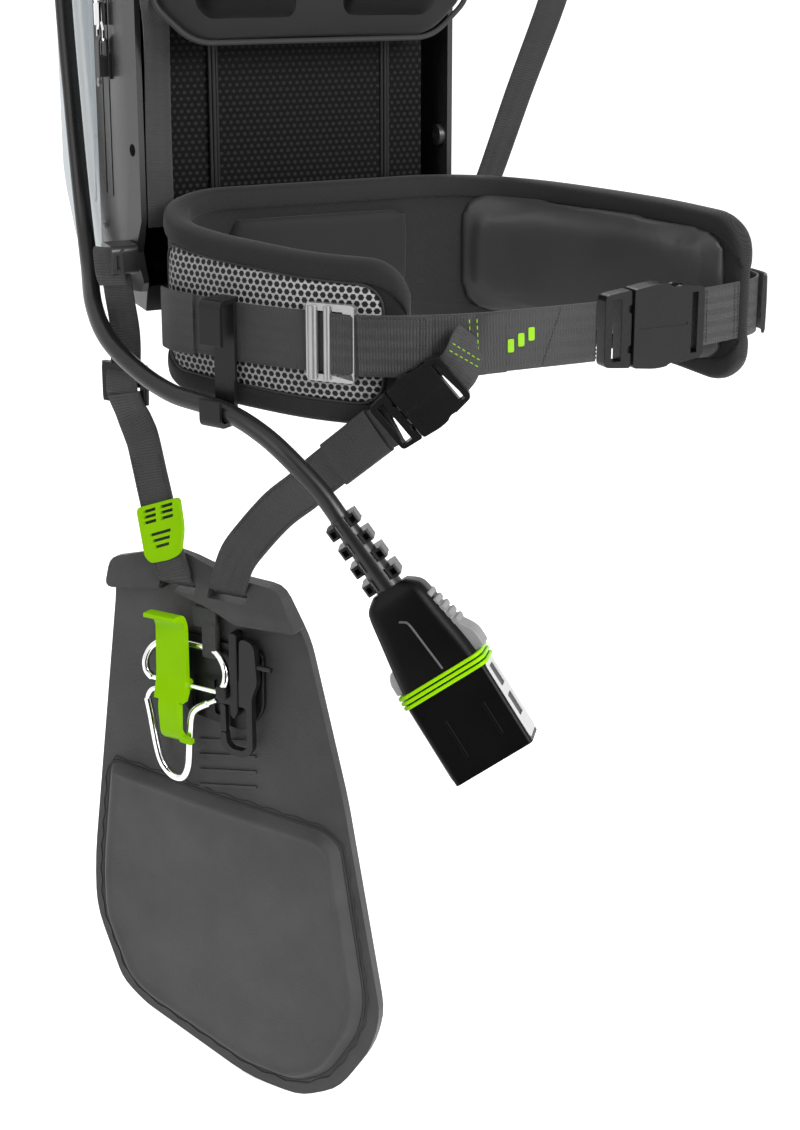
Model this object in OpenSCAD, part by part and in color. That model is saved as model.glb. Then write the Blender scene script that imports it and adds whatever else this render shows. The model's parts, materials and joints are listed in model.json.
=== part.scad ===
// Backpack battery carrier with a hip belt, a hanging hip pad and a power lead.
// The origin is where the shoulders carry it: X to the wearer's left, Y to the rear, Z up.

/* [Frame and battery] */
// Width across the side rails
frame_w = 316; // [308:1:324]
// Height of the rails above the shoulders
frame_top = 44; // [38:1:50]
// Depth of the side rails from front to back
rail_depth = 112; // [106:1:118]
// Depth of the battery casing behind the rails
battery_depth = 140; // [130:1:150]
// Diameter of the accessory bores in the rails
accessory_bore_d = 11; // [9:0.5:12]
// Distance of the accessory bores below the shoulders
accessory_drop = 333; // [320:1:346]
// Clear height under the carry handle
handle_gap = 30; // [26:1:34]
// Diameter of the battery cells
cell_d = 21; // [18:0.5:21.5]

/* [Back and shoulders] */
// Width of the upper back pad
back_pad_w = 296; // [284:1:300]
// Distance of the back pad's lower edge below the shoulders
back_pad_drop = 240; // [234:1:246]
// Width of a padded shoulder strap
shoulder_w = 62; // [54:1:66]
// Width of the shoulder webbing
shoulder_webbing_w = 25; // [22:1:26]

/* [Hip belt] */
// Thickness of the belt's foam
belt_t = 22; // [20:1:23]
// Width of the waist webbing
waist_webbing_w = 50; // [46:1:52]
// Thickness of all webbing
webbing_t = 2; // [1.6:0.1:2.2]
// Length of the waist buckle's socket
buckle_l = 71; // [69:1:73]

/* [Hip pad] */
// Thickness of the hip pad's plate
pad_t = 9; // [8:0.5:10]
// Rise of the stitched panel above the plate
panel_rise = 7; // [5:0.5:8]
// Width of the webbing that carries the hip pad
pad_webbing_w = 36; // [34:1:40]
// Diameter of the chrome wire in the quick release
wire_d = 4; // [3:0.5:4.5]

/* [Power lead] */
// Diameter of the lead
lead_d = 16; // [15:0.5:16.5]
// Length of the strain relief
relief_l = 68; // [66:1:70]
// Width of the plug across its bands
plug_w = 74; // [70:1:78]

/* [Hidden] */

// Places of the frame and the casing
half_w = frame_w / 2;
rail_t = 12;
rail_front = 66;
rail_rear = rail_front + rail_depth;
case_rear = rail_rear + 4 + battery_depth;
case_top = frame_top - 4;
foot_z = -462;
spine_w = 242;
plate_front = 70;
plate_t = 3;
bore_y = rail_front + 13;
hole_pitch = 13;
hole_d = 9;

// Places of the soft parts
back_pad_front = 20;
back_pad_rear = 62;
net_t = 1.4;
joint_gap = 0.4;

// The hip pad hangs in its own upright plane, and swings about the pivot's X axis
pad_pivot = [-116, -4, -552];
pad_yaw = -52;
pad_dir = [cos(pad_yaw), sin(pad_yaw), 0];
pad_out = [sin(pad_yaw), -cos(pad_yaw), 0];

// The waist buckle, where its plug meets its socket
buckle_at = [180, -208, -464];
buckle_yaw = 3;

// The buckle of the pad's front strap, before the belt's tip
strap_buckle_at = [-6, -202.4, -507.5];
strap_buckle_yaw = -25;
strap_buckle_tilt = 39.4;
strap_buckle_scale = 0.714;

// The quick release on the hip pad, in the pad's plane
release_at = [-30, -252];
hook_stand = 18;
collar_rise = 15;
bail_z = -262;
bail_stand = 20;
gate_at = [19, -267];
tool_hook_out = 12;

// The clip that holds the lead on the belt
clip_at = [-121, -70];
clip_yaw = -58;
clip_top = -438;
clip_bottom = -545;

// The lead's route from the gland to the strain relief
lead_r = lead_d / 2;
lead_x = -half_w - 4 - lead_r - 1;
gland_at = [lead_x, 243, -62];
gland_l = 36;
LEAD_ROUTE = [[-171, 243, -98], [-171, 243, -130], [-171, 238, -180], [-171, 230, -240],
    [-171, 218, -300], [-171, 205, -360], [-172, 188, -408], [-177, 155, -446],
    [-186, 108, -474], [-186, 62, -496], [-174, 12, -514], [-158, -32, -525],
    [-138.5, -65.5, -529], [-124.9, -87.3, -533], [-112, -112, -541],
    [-98, -136, -555], [-76, -163, -584], [-60, -180, -612]];
relief_from = LEAD_ROUTE[len(LEAD_ROUTE) - 1];
relief_dir = unit([34, -20, -56]);
plug_from = relief_from + relief_dir * relief_l;
plug_dir = unit([0.381, -0.453, -0.806]);
plug_side = [0.745, -0.3655, 0.558];
plug_neck_l = 73;
plug_block_l = 70;

// Lowest and highest point of the belt along its plan: x, y, top, bottom
BELT = [[0, -170, -400, -537], [-31, -149, -399, -537], [-65, -117, -397, -536],
    [-94, -80, -393, -534], [-119, -40, -389, -532], [-135, -4, -383, -529],
    [-128, 32, -373, -520], [-98, 50, -367, -505], [-50, 51, -366, -492],
    [0, 51, -366, -490], [60, 51, -366, -494], [118, 50, -366, -502],
    [165, 34, -367, -508], [207, -4, -369, -512], [244, -62, -372, -517],
    [272, -120, -375, -520], [292, -165, -379, -527], [304, -198, -382, -531]];
belt_corner = 34;
rim_w = 24;

// ---- Helpers ----

function unit(v) = v / norm(v);

// Sum of a list of points
function total(v) = [for (p = v) 1] * v;

// A smooth curve through all points of p
function spline(p, steps) = concat(
    [for (i = [0:len(p) - 2], k = [0:steps - 1])
        let (a = p[max(i - 1, 0)], b = p[i], c = p[i + 1], d = p[min(i + 2, len(p) - 1)])
        let (t = k / steps)
        0.5 * (2 * b + (c - a) * t + (2 * a - 5 * b + 4 * c - d) * t * t
            + (3 * b - a - 3 * c + d) * t * t * t)],
    [p[len(p) - 1]]);

// An outline with its corners rounded by parabolas that start r from each corner
function rounded(p, r, n = 4) = [for (i = [0:len(p) - 1])
    let (b = p[i], a = p[(i + len(p) - 1) % len(p)], c = p[(i + 1) % len(p)])
    let (q = is_list(r) ? r[i] : r)
    let (s = b + unit(a - b) * q, e = b + unit(c - b) * q)
    for (k = [0:n]) let (t = k / n)
    (1 - t) * (1 - t) * s + 2 * t * (1 - t) * b + t * t * e];

function box_outline(w, h, r, n = 4) =
    rounded([[w / 2, h / 2], [-w / 2, h / 2], [-w / 2, -h / 2], [w / 2, -h / 2]], r, n);

function tangent(p, i) = unit(p[min(i + 1, len(p) - 1)] - p[max(i - 1, 0)]);

// A closed skin over rings of equally many points, each end closed to its middle
module skin(rings) {
    n = len(rings[0]);
    m = len(rings);
    first = total(rings[0]) / n;
    last = total(rings[m - 1]) / n;
    points = concat([for (r = rings) each r], [first, last]);
    sides = [for (i = [0:m - 2], j = [0:n - 1])
        let (a = i * n + j, b = i * n + (j + 1) % n)
        each [[a, b + n, b], [a, a + n, b + n]]];
    ends = [for (j = [0:n - 1]) each [[m * n, j, (j + 1) % n],
        [m * n + 1, (m - 1) * n + (j + 1) % n, (m - 1) * n + j]]];
    polyhedron(points, concat(sides, ends), convexity = 6);
}

// A flat strap along a path, its width turning from one direction to another
module strap(path, wide, across, across_end = undef, thick = webbing_t) {
    last = len(path) - 1;
    skin([for (i = [0:last])
        let (t = tangent(path, i), target = is_undef(across_end) ? across : across_end)
        let (raw = across * (1 - i / last) + target * (i / last))
        let (w = unit(raw - t * (raw * t)) * wide / 2, h = unit(cross(t, w)) * thick / 2)
        [path[i] + w + h, path[i] - w + h, path[i] - w - h, path[i] + w - h]]);
}

// A round bar along a path that never runs along side
module bar(path, d, side, sides = 10) {
    skin([for (i = [0:len(path) - 1])
        let (t = tangent(path, i), u = unit(cross(t, side)), v = cross(t, u))
        [for (k = [0:sides - 1])
            path[i] + (u * cos(360 * k / sides) + v * sin(360 * k / sides)) * d / 2]]);
}

// A padded strap: a rounded section carried along a path
module padded_strap(path, wide, thick, across, across_end) {
    last = len(path) - 1;
    section = box_outline(wide, thick, [thick * 0.45, thick * 0.45, thick * 0.45,
        thick * 0.45], 2);
    skin([for (i = [0:last])
        let (t = tangent(path, i), raw = across * (1 - i / last) + across_end * (i / last))
        let (w = unit(raw - t * (raw * t)), h = cross(t, w))
        let (end = 1 - 0.45 * pow(abs(2 * i / last - 1), 14))
        [for (s = section) path[i] + w * s[0] * end + h * s[1]]]);
}

// A crowned cushion over an outline (x, z) from its rear to its front
module cushion(outline, rear, front, crown, roll) {
    c = total(outline) / len(outline);
    span = norm([max([for (p = outline) p[0]]) - c[0], max([for (p = outline) p[1]]) - c[1]]);
    depth = rear - front;
    levels = [[roll, 0], [0, 0.3], [0, 0.65], [roll * 0.6, 0.92], [roll * 1.6, 1.02]];
    skin(concat(
        [for (l = levels) [for (p = outline)
            let (q = p - unit(p - c) * l[0]) [q[0], rear - depth * l[1], q[1]]]],
        [for (k = [0.35, 0.7]) [for (p = outline)
            let (q = c + (p - c) * (1 - roll * 1.6 / span) * (1 - k))
            [q[0], front - crown * sin(90 * k), q[1]]]]));
}

module slab_x(outline, x0, x1) {
    translate([x0, 0, 0])
        rotate([90, 0, 90])
            linear_extrude(x1 - x0) polygon(outline);
}

module slab_y(outline, y0, y1) {
    translate([0, y1, 0])
        rotate([90, 0, 0])
            linear_extrude(y1 - y0) polygon(outline);
}

module pad_frame() {
    translate(pad_pivot)
        rotate([0, 0, pad_yaw]) children();
}

function in_pad(u, v, out = 0) = pad_pivot + pad_dir * u + pad_out * out + [0, 0, v];

// ---- Frame ----

module rail_bar() {
    plan = [[half_w, rail_rear], [half_w, rail_front + 40], [half_w - 7, rail_front],
        [half_w - rail_t, rail_front], [half_w - rail_t, rail_rear]];
    side = [[rail_front - 1, 12], [rail_front + 34, frame_top], [rail_rear, frame_top],
        [rail_rear, -448], [rail_front + 46, foot_z], [rail_front + 6, foot_z + 4],
        [rail_front - 1, foot_z + 14], [rail_front + 14, -424], [rail_front - 1, -392]];
    difference() {
        union() {
            intersection() {
                translate([0, 0, foot_z - 4])
                    linear_extrude(frame_top - foot_z + 8) polygon(plan);
                slab_x(side, 0, half_w + 2);
            }
            // Boss round the accessory bore
            translate([half_w - rail_t - 6, bore_y, -accessory_drop])
                rotate([0, 90, 0]) cylinder(d = 20, h = 11, $fn = 48);
            // Lug that carries a strap at the rail's foot
            translate([half_w - 2, 0, 0])
                slab_x(rounded([[60, -414], [60, -440], [96, -440], [96, -414]], 6), 0, 24);
        }
        translate([half_w - rail_t - 8, bore_y, -accessory_drop])
            rotate([0, 90, 0]) cylinder(d = accessory_bore_d, h = 24, $fn = 48);
        // Slot in the lug
        translate([half_w + 13, 0, 0])
            slab_x([[56, -422], [56, -434], [90, -434], [90, -422]], 0, 5);
        // Grooves along the outer face
        for (y = [rail_front + 62, rail_front + 84])
            translate([half_w - 1.5, y, -380]) cube([4, 4, 340]);
    }
}

module left_rail() {
    color("#3b3c3e") mirror([1, 0, 0]) rail_bar();
}

module right_rail() {
    color("#3b3c3e") rail_bar();
}

module spine_housing() {
    w = spine_w;
    color("#1c1c1d") difference() {
        translate([-w / 2, plate_front + plate_t, -452])
            cube([w, rail_rear - plate_front - plate_t, 480]);
        translate([-w / 2 + 4, plate_front + plate_t - 1, -448])
            cube([w - 8, rail_rear - plate_front - plate_t - 5, 472]);
        // Cooling slots in the side walls
        for (k = [0:8], side = [-1, 1])
            translate([side * (w / 2 - 2) - 4, rail_front + 56, -400 + 46 * k])
                cube([8, 38, 12]);
    }
}

// Staggered holes over a strip
module hole_field(x0, x1, z0, z1) {
    rows = floor((z1 - z0) / (hole_pitch * 0.866));
    columns = floor((x1 - x0) / hole_pitch);
    inset = ((x1 - x0) - columns * hole_pitch) / 2;
    for (r = [0:rows - 1], c = [0:columns - 1 - r % 2])
        translate([x0 + inset + hole_pitch * (c + 0.5 + 0.5 * (r % 2)),
                z0 + hole_pitch * 0.866 * (r + 0.5)])
            rotate(30) circle(d = hole_d, $fn = 6);
}

module back_plate() {
    color("#2b2b2c") translate([0, plate_front + plate_t, 0])
        rotate([90, 0, 0])
            linear_extrude(plate_t) difference() {
                translate([-spine_w / 2, -452]) square([spine_w, 480]);
                hole_field(-118, -88, -430, -120);
                hole_field(88, 118, -430, -120);
            }
}

module centre_panel() {
    color("#202021") translate([0, plate_front - joint_gap, 0])
        rotate([90, 0, 0]) {
            linear_extrude(3) difference() {
                polygon(rounded([[86, 10], [-86, 10], [-86, -444], [86, -444]], 8));
                hole_field(-76, 76, -400, -250);
            }
            // Smooth rim round the holes
            linear_extrude(5) difference() {
                polygon(rounded([[86, 10], [-86, 10], [-86, -444], [86, -444]], 8));
                polygon(rounded([[79, 3], [-79, 3], [-79, -437], [79, -437]], 6));
            }
        }
}

module bottom_tray() {
    profile = [[plate_front + 2, foot_z + 8], [plate_front + 10, -478], [212, -478],
        [226, -471], [226, -469], [rail_rear, -469], [rail_rear, -453],
        [plate_front + 2, -453]];
    w = half_w - rail_t - joint_gap;
    color("#19191a") difference() {
        slab_x(profile, -w, w);
        // Drain slots
        for (x = [-90, -45, 0, 45, 90])
            translate([x - 12, 120, -480]) cube([24, 6, 40]);
    }
}

module top_bridge() {
    w = half_w - rail_t - joint_gap;
    profile = rounded([[rail_front + 10, 29], [rail_rear, 29], [rail_rear, frame_top],
        [rail_front + 34, frame_top], [rail_front + 10, 36]], 2);
    color("#2b2b2c") slab_x(profile, -w, w);
}

module carry_handle() {
    y = (rail_front + rail_rear) / 2;
    z = frame_top;
    outer = rounded([[74, z + 0.2], [60, z + handle_gap + 22], [-60, z + handle_gap + 22],
        [-74, z + 0.2]], [6, 18, 18, 6], 5);
    inner = rounded([[54, z + 4], [46, z + handle_gap + 4], [-46, z + handle_gap + 4],
        [-54, z + 4]], [4, 10, 10, 4], 5);
    color("#1d1d1e") {
        difference() {
            slab_y(outer, y - 13, y + 13);
            slab_y(inner, y - 14, y + 14);
        }
        // Finger ridges of the soft grip
        for (x = [-36:12:36])
            translate([x, y, z + handle_gap + 13])
                rotate([0, 90, 0]) cylinder(d = 27.4, h = 5, center = true, $fn = 40);
    }
}

function case_profile(g) = rounded([[rail_rear + 1, case_top - g],
    [case_rear - 22, case_top - g], [case_rear - g, case_top - 24], [case_rear - g, -374],
    [case_rear - 8 - g, -394], [case_rear - 42, -440 + g], [222, -467 + g],
    [rail_rear + 1, -467 + g]], [1, 12, 14, 8, 8, 10, 6, 1], 4);

module battery_side() {
    translate([half_w - 5, 0, 0]) {
        slab_x(case_profile(0), 0, 3);
        slab_x(case_profile(1.6), 3, 5);
        // Raised field on the flank
        slab_x(rounded([[rail_rear + 14, -40], [case_rear - 26, -40], [case_rear - 26, -330],
            [rail_rear + 14, -400]], 16), 4.9, 5.6);
    }
}

module battery_side_left() {
    color("#cdd7de") mirror([1, 0, 0]) battery_side();
}

module battery_side_right() {
    color("#cdd7de") battery_side();
}

module battery_case() {
    w = half_w - 5 - joint_gap;
    wall = 4;
    color("#232425") difference() {
        slab_x(case_profile(2), -w, w);
        // Room for the cells and the board
        slab_x([[rail_rear + 1 + wall, case_top - 12], [case_rear - 30, case_top - 12],
            [case_rear - 12, case_top - 34], [case_rear - 12, -372], [case_rear - 50, -430],
            [rail_rear + 1 + wall, -456]], -w + wall, w - wall);
        // Well of the charge button
        translate([0, case_rear - 44, case_top - 14]) cylinder(d = 19, h = 20, $fn = 48);
        // Windows of the charge lamps
        for (k = [0:3])
            translate([20 + 12 * k, case_rear - 44, case_top - 14])
                cylinder(d = 5, h = 20, $fn = 24);
        // Ribs moulded in the rear wall
        for (k = [-4:4])
            translate([28 * k - 5, case_rear - 4, -350]) cube([10, 6, 330]);
    }
}

module cell_pack() {
    rows = 4;
    columns = 12;
    pitch_y = cell_d + 2;
    pitch_z = cell_d + 6;
    y0 = rail_rear + 20;
    z0 = -350;
    color("#3d6e9c") for (bank = [-1, 1]) {
        for (r = [0:rows - 1], c = [0:columns - 1])
            translate([bank * 64 - 35, y0 + pitch_y * r, z0 + pitch_z * c])
                rotate([0, 90, 0]) cylinder(d = cell_d, h = 70, $fn = 20);
        // Holders at both ends of a bank
        for (side = [-1, 1])
            translate([bank * 64 + side * 34 - 2, y0 - 12, z0 - 12])
                cube([4, pitch_y * rows + 2, pitch_z * columns]);
    }
}

module control_board() {
    color("#1f6b3a") {
        translate([-90, rail_rear + 20, -398]) cube([180, 80, 2]);
        for (x = [-70, -20, 30])
            translate([x, rail_rear + 34, -396.1]) cube([28, 40, 9]);
        for (x = [-80, 70])
            translate([x, rail_rear + 50, -396.1]) cylinder(d = 12, h = 18, $fn = 24);
    }
}

module charge_button() {
    translate([0, case_rear - 44, case_top - 9]) color("#2f3032") {
        cylinder(d = 18, h = 9, $fn = 48);
        cylinder(d = 10, h = 10, $fn = 32);
    }
}

module charge_lamps() {
    color("#7bbf1e") for (k = [0:3])
        translate([20 + 12 * k, case_rear - 44, case_top - 12])
            cylinder(d = 4.4, h = 11, $fn = 24);
}

module cable_gland() {
    g = gland_at;
    color("#161617") {
        // Foot on the casing's flank
        translate([-half_w - 6, g[1] - 19, g[2] - 20]) cube([5.2, 38, 44]);
        // Elbow whose outlet points down
        difference() {
            union() {
                translate(g + [0, 0, -26]) cylinder(d = lead_d + 9, h = 40, $fn = 48);
                translate([g[0], g[1] - 12, g[2] - 14]) cube([lead_r + 7, 24, 26]);
            }
            translate(g + [0, 0, -28]) cylinder(d = lead_d + 3, h = 12, $fn = 48);
        }
        // Ribbed nut and sleeve round the lead
        for (k = [0:2])
            translate(g + [0, 0, -26 - 4 * k]) cylinder(d = lead_d + 12 - 2 * k, h = 3.2, $fn = 12);
        translate(g + [0, 0, -gland_l]) cylinder(d = lead_d + 2, h = 14, $fn = 40);
    }
}

module frame_screws() {
    color("#8f9296") for (side = [-1, 1], z = [-20, -150, -280, -410])
        translate([side * (half_w + 0.6), rail_rear - 14, z])
            rotate([0, 90, 0]) difference() {
                cylinder(d = 9, h = 2, center = true, $fn = 32);
                translate([0, 0, side * 0.6]) cylinder(d = 4, h = 1.4, center = true, $fn = 6);
            }
}

// ---- Back and shoulder padding ----

module back_pad() {
    w = back_pad_w / 2;
    low = -back_pad_drop;
    outline = rounded([[w, -36], [-w, -36], [-w, low + 34], [-w + 36, low], [w - 36, low],
        [w, low + 34]], [26, 26, 14, 18, 18, 14], 3);
    lobe = rounded([[118, -52], [16, -52], [16, low + 16], [108, low + 16],
        [120, low + 40]], [22, 16, 14, 12, 12], 3);
    color("#2a2a2c") {
        cushion(outline, back_pad_rear, back_pad_front, 1, 6);
        for (side = [0, 1])
            mirror([side, 0, 0]) cushion(lobe, back_pad_front + 3, back_pad_front - 7, 5, 5);
        // Mounting blocks behind the pad
        for (x = [-60, 60], z = [-80, -200])
            translate([x - 20, back_pad_rear - 1, z - 12]) cube([40, 4, 24]);
    }
}

SHOULDER_RIGHT = [[84, 66, -14], [86, 48, 2], [90, 22, 10], [98, -12, 9], [112, -44, -12],
    [136, -66, -52], [166, -70, -96], [196, -52, -136], [210, -38, -156]];
SHOULDER_LEFT = [[-84, 66, -14], [-86, 48, 2], [-90, 22, 10], [-98, -12, 9],
    [-112, -44, -12], [-130, -60, -50], [-146, -56, -92], [-154, -34, -126],
    [-156, -16, -146]];

module shoulder_pad_left() {
    color("#2a2a2c")
        padded_strap(spline(SHOULDER_LEFT, 3), shoulder_w, 14, [1, 0, 0], [1, 0.3, 0]);
}

module shoulder_pad_right() {
    color("#2a2a2c")
        padded_strap(spline(SHOULDER_RIGHT, 3), shoulder_w, 14, [1, 0, 0], [0.8, -0.5, 0]);
}

module shoulder_webbing_left() {
    path = spline([[-156, -14, -152], [-150, 14, -184], [-138, 46, -222], [-133, 63, -256],
        [-133, 66, -320], [-133, 66, -400]], 3);
    color("#1b1b1c") strap(path, shoulder_webbing_w - 1, [1, 0.3, 0], [1, 0, 0]);
}

module shoulder_webbing_right() {
    path = spline([[211, -35, -162], [209, -18, -206], [199, 24, -290], [188, 60, -372],
        [180, 80, -413]], 4);
    color("#1b1b1c") strap(path, shoulder_webbing_w, [0.8, -0.5, 0], [1, -0.2, 0]);
}

// A small two-bar adjuster for a shoulder strap
module adjuster() {
    w = shoulder_webbing_w + 12;
    difference() {
        slab_y(box_outline(w, 30, 5), -3, 3);
        for (z = [-8, 4])
            translate([-shoulder_webbing_w / 2 - 0.5, -4, z]) cube([shoulder_webbing_w + 1, 8, 6]);
    }
}

module strap_adjusters() {
    color("#141415") {
        translate([211, -35.6, -172]) rotate([-22, 0, -30]) adjuster();
        translate([-154.6, -7, -161]) rotate([-40, 0, 16]) adjuster();
    }
}

// ---- Hip belt ----

BELT_FINE = spline(BELT, 3);
BELT_RUN = [for (i = [0:len(BELT_FINE) - 1]) norm([BELT_FINE[max(i, 1)][0]
    - BELT_FINE[max(i, 1) - 1][0], BELT_FINE[max(i, 1)][1] - BELT_FINE[max(i, 1) - 1][1]])];

function run_to(i) = i <= 0 ? 0 : BELT_RUN[i] + run_to(i - 1);
BELT_LENGTH = run_to(len(BELT_FINE) - 1);

// How far the belt's corner is drawn in at a distance e from its tip
function corner_in(e) = e >= belt_corner ? 0
    : belt_corner - sqrt(belt_corner * belt_corner - (belt_corner - e) * (belt_corner - e));

function belt_normal(i) =
    let (t = tangent([for (p = BELT_FINE) [p[0], p[1]]], i)) [t[1], -t[0]];

// A point of the belt: station i, offset outward from its middle, height
function on_belt(i, off, z) = let (p = BELT_FINE[i], n = belt_normal(i))
    [p[0] - n[0] * off, p[1] - n[1] * off, z];

module hip_belt() {
    h = belt_t / 2;
    last = len(BELT_FINE) - 1;
    color("#303031") skin([for (i = [0:last])
        let (e = min(run_to(i), BELT_LENGTH - run_to(i)), c = corner_in(max(e, 1)))
        let (top = BELT_FINE[i][2] - c, low = BELT_FINE[i][3] + c, core = h - 2.5)
        let (section = [[0, top], [-h, top - 7], [-h, top - 17], [-core, top - rim_w],
            [-core, low + rim_w], [-h, low + 17], [-h, low + 7], [0, low], [h, low + 7],
            [h, low + 17], [core, low + rim_w], [core, top - rim_w], [h, top - 17],
            [h, top - 7]])
        [for (s = section) on_belt(i, s[0], s[1])]]);
}

// A panel that lies along the belt between two stations
module belt_panel(from, to, inner, outer, drop, crown) {
    last = to - from;
    skin([for (k = [0:last])
        let (i = from + k, f = sin(180 * k / last), e = sqrt(max(f, 0.02)))
        let (top = BELT_FINE[i][2] - drop, low = BELT_FINE[i][3] + drop)
        let (mid = (top + low) / 2, half = (top - low) / 2 * (0.72 + 0.28 * min(1, 3 * f)))
        let (rise = inner + (outer - inner) * min(1, 0.3 + 2.2 * f))
        [for (s = [[inner, half], [rise, half - 6], [rise + crown * e, 0],
            [rise, -half + 6], [inner, -half]]) on_belt(i, s[0], mid + s[1])]]);
}

module lumbar_pad() {
    color("#39393a") belt_panel(22, 32, -belt_t / 2 + 2.2, -belt_t / 2 - 3, 24, -3);
}

module wing_pad_left() {
    color("#1f1f20") belt_panel(3, 19, -belt_t / 2 + 2.2, -belt_t / 2 - 6, 20, -4);
}

module wing_pad_right() {
    color("#1f1f20") belt_panel(35, 50, -belt_t / 2 + 2.2, -belt_t / 2 - 9, 14, -5);
}

module belt_net(from, to) {
    core = belt_t / 2 - 2.5;
    skin([for (i = [from:to])
        let (top = BELT_FINE[i][2] - rim_w, low = BELT_FINE[i][3] + rim_w)
        [for (s = [[core + 0.2, top], [core + 0.2 + net_t, top - 1],
            [core + 0.2 + net_t, low + 1], [core + 0.2, low]]) on_belt(i, s[0], s[1])]]);
}

module belt_net_left() {
    color("#a3a4a5") belt_net(2, 17);
}

module belt_net_right() {
    color("#a3a4a5") belt_net(36, 48);
}

// ---- Waist webbing and its hardware ----

function flat_path(p, z0, z1) = [for (i = [0:len(p) - 1])
    [p[i][0], p[i][1], z0 + (z1 - z0) * i / (len(p) - 1)]];

UP = [0, 0, 1];

// A level path moved outward, to the right of its travel seen from above
function moved_out(p, off) = [for (i = [0:len(p) - 1])
    let (t = tangent(p, i)) p[i] + unit([t[1], -t[0], 0]) * off];

module waist_webbing_rear() {
    path = spline(flat_path([[-151, 8], [-149, -14], [-132, -48], [-106, -88], [-77, -125],
        [-58, -143]], -466, -467), 3);
    color("#262627") {
        strap(path, waist_webbing_w, UP);
        // Keeper folds near the bend
        strap(spline(flat_path([[-153.4, 2], [-151, -16], [-139, -40]], -466, -466), 3),
            waist_webbing_w + 3, UP, UP, 2.2);
    }
}

module waist_webbing_front() {
    a = -467;
    color("#262627") {
        strap(spline(flat_path([[-61, -147], [-42, -163], [-12, -184], [44, -203],
            [100, -209], [148, -209.5]], a, a + 3), 4), waist_webbing_w, UP);
        // Second layer where the end is sewn back through the lock
        strap(moved_out(spline(flat_path([[-42, -163], [-12, -184], [8, -192]], a, a), 3),
            webbing_t + 0.2), waist_webbing_w, UP);
    }
}

module waist_webbing_end() {
    color("#262627") {
        strap(spline(flat_path([[248, -203.5], [284, -198], [314, -191], [328, -177],
            [324, -158], [310, -132]], -463, -458), 4), waist_webbing_w, UP);
        // Flap sewn over the end
        strap(spline(flat_path([[326, -192], [334, -180], [332, -162]], -460, -459), 3),
            waist_webbing_w + 1, UP, UP, 3);
    }
}

module ladder_lock() {
    w = waist_webbing_w;
    translate([-57, -144, -467]) rotate([0, 0, -46]) color("#9fa1a3") {
        difference() {
            slab_y(box_outline(42, w + 14, 4), -4, 2);
            for (x = [-13, 1])
                translate([x, -6, -w / 2 - 1]) cube([10, 12, w + 2]);
        }
        // Roller that grips the webbing
        translate([-15, -3, -w / 2 - 5]) cylinder(d = 9, h = w + 10, $fn = 32);
        // Front bar that the doubled webbing wraps
        translate([-2, -5, -w / 2 - 5]) cylinder(d = 6, h = w + 10, $fn = 32);
    }
}

// A side-release buckle: X along the webbing, Z across it, -Y outward. The plug lies at
// X below 0 and the socket above it.
prong_z = 17;
prong_r = 3;

module buckle_plug() {
    difference() {
        union() {
            slab_y(rounded([[-1, 33], [-27, 30], [-27, -30], [-1, -33]], [3, 5, 5, 3]), -6, 6);
            // Guide tongue
            slab_y(rounded([[34, 4], [-4, 6], [-4, -6], [34, -4]], 2), -3.5, 3.5);
        }
        // Webbing slot
        translate([-20, -8, -26]) cube([9, 16, 52]);
        // Sockets in which the prongs turn
        for (side = [-1, 1])
            translate([-1, 0, side * prong_z])
                rotate([90, 0, 0]) cylinder(r = prong_r + 0.35, h = 16, center = true, $fn = 40);
    }
}

module buckle_socket() {
    l = buckle_l;
    difference() {
        slab_y(rounded([[0.4, 33], [0.4, -33], [24, -36], [40, -34], [l, -30], [l, 30],
            [40, 34], [24, 36]], [3, 3, 7, 7, 6, 6, 7, 7]), -8, 8);
        // Cavity for the prongs
        translate([-2, -4.4, -28]) cube([56, 8.8, 56]);
        // Side windows through which the prongs are pressed
        for (side = [-1, 1])
            translate([30, -4.4, side > 0 ? 20 : -40]) cube([23.5, 8.8, 20]);
        // Round thumb notches
        for (side = [-1, 1])
            translate([42, 0, side * 45])
                rotate([90, 0, 0]) cylinder(d = 26, h = 20, center = true, $fn = 40);
        // Webbing slot in the collar
        translate([l - 13, -10, -26]) cube([6, 20, 52]);
        // Crease along the middle
        translate([4, -8.6, -1]) cube([50, 1.4, 2]);
    }
}

// The upper prong: it turns about Y at the origin of its knuckle
module buckle_prong() {
    translate([-1, 0, prong_z]) {
        rotate([90, 0, 0]) cylinder(r = prong_r, h = 7, center = true, $fn = 40);
        slab_y(rounded([[1, 2.6], [1, -2.6], [36, -2], [50, 0.5], [50, 8], [44, 15.5],
            [35, 15.5], [33, 4.5]], [0.5, 0.5, 4, 3, 4, 5, 2, 2], 3), -3.5, 3.5);
    }
}

module at_waist_buckle() {
    translate(buckle_at)
        rotate([0, 0, buckle_yaw]) children();
}

module waist_buckle_plug() {
    color("#1a1a1b") at_waist_buckle() buckle_plug();
}

module waist_buckle_socket() {
    color("#1a1a1b") at_waist_buckle() buckle_socket();
}

module waist_prong_upper() {
    color("#222223") at_waist_buckle() buckle_prong();
}

module waist_prong_lower() {
    color("#222223") at_waist_buckle() mirror([0, 0, 1]) buckle_prong();
}

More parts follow.
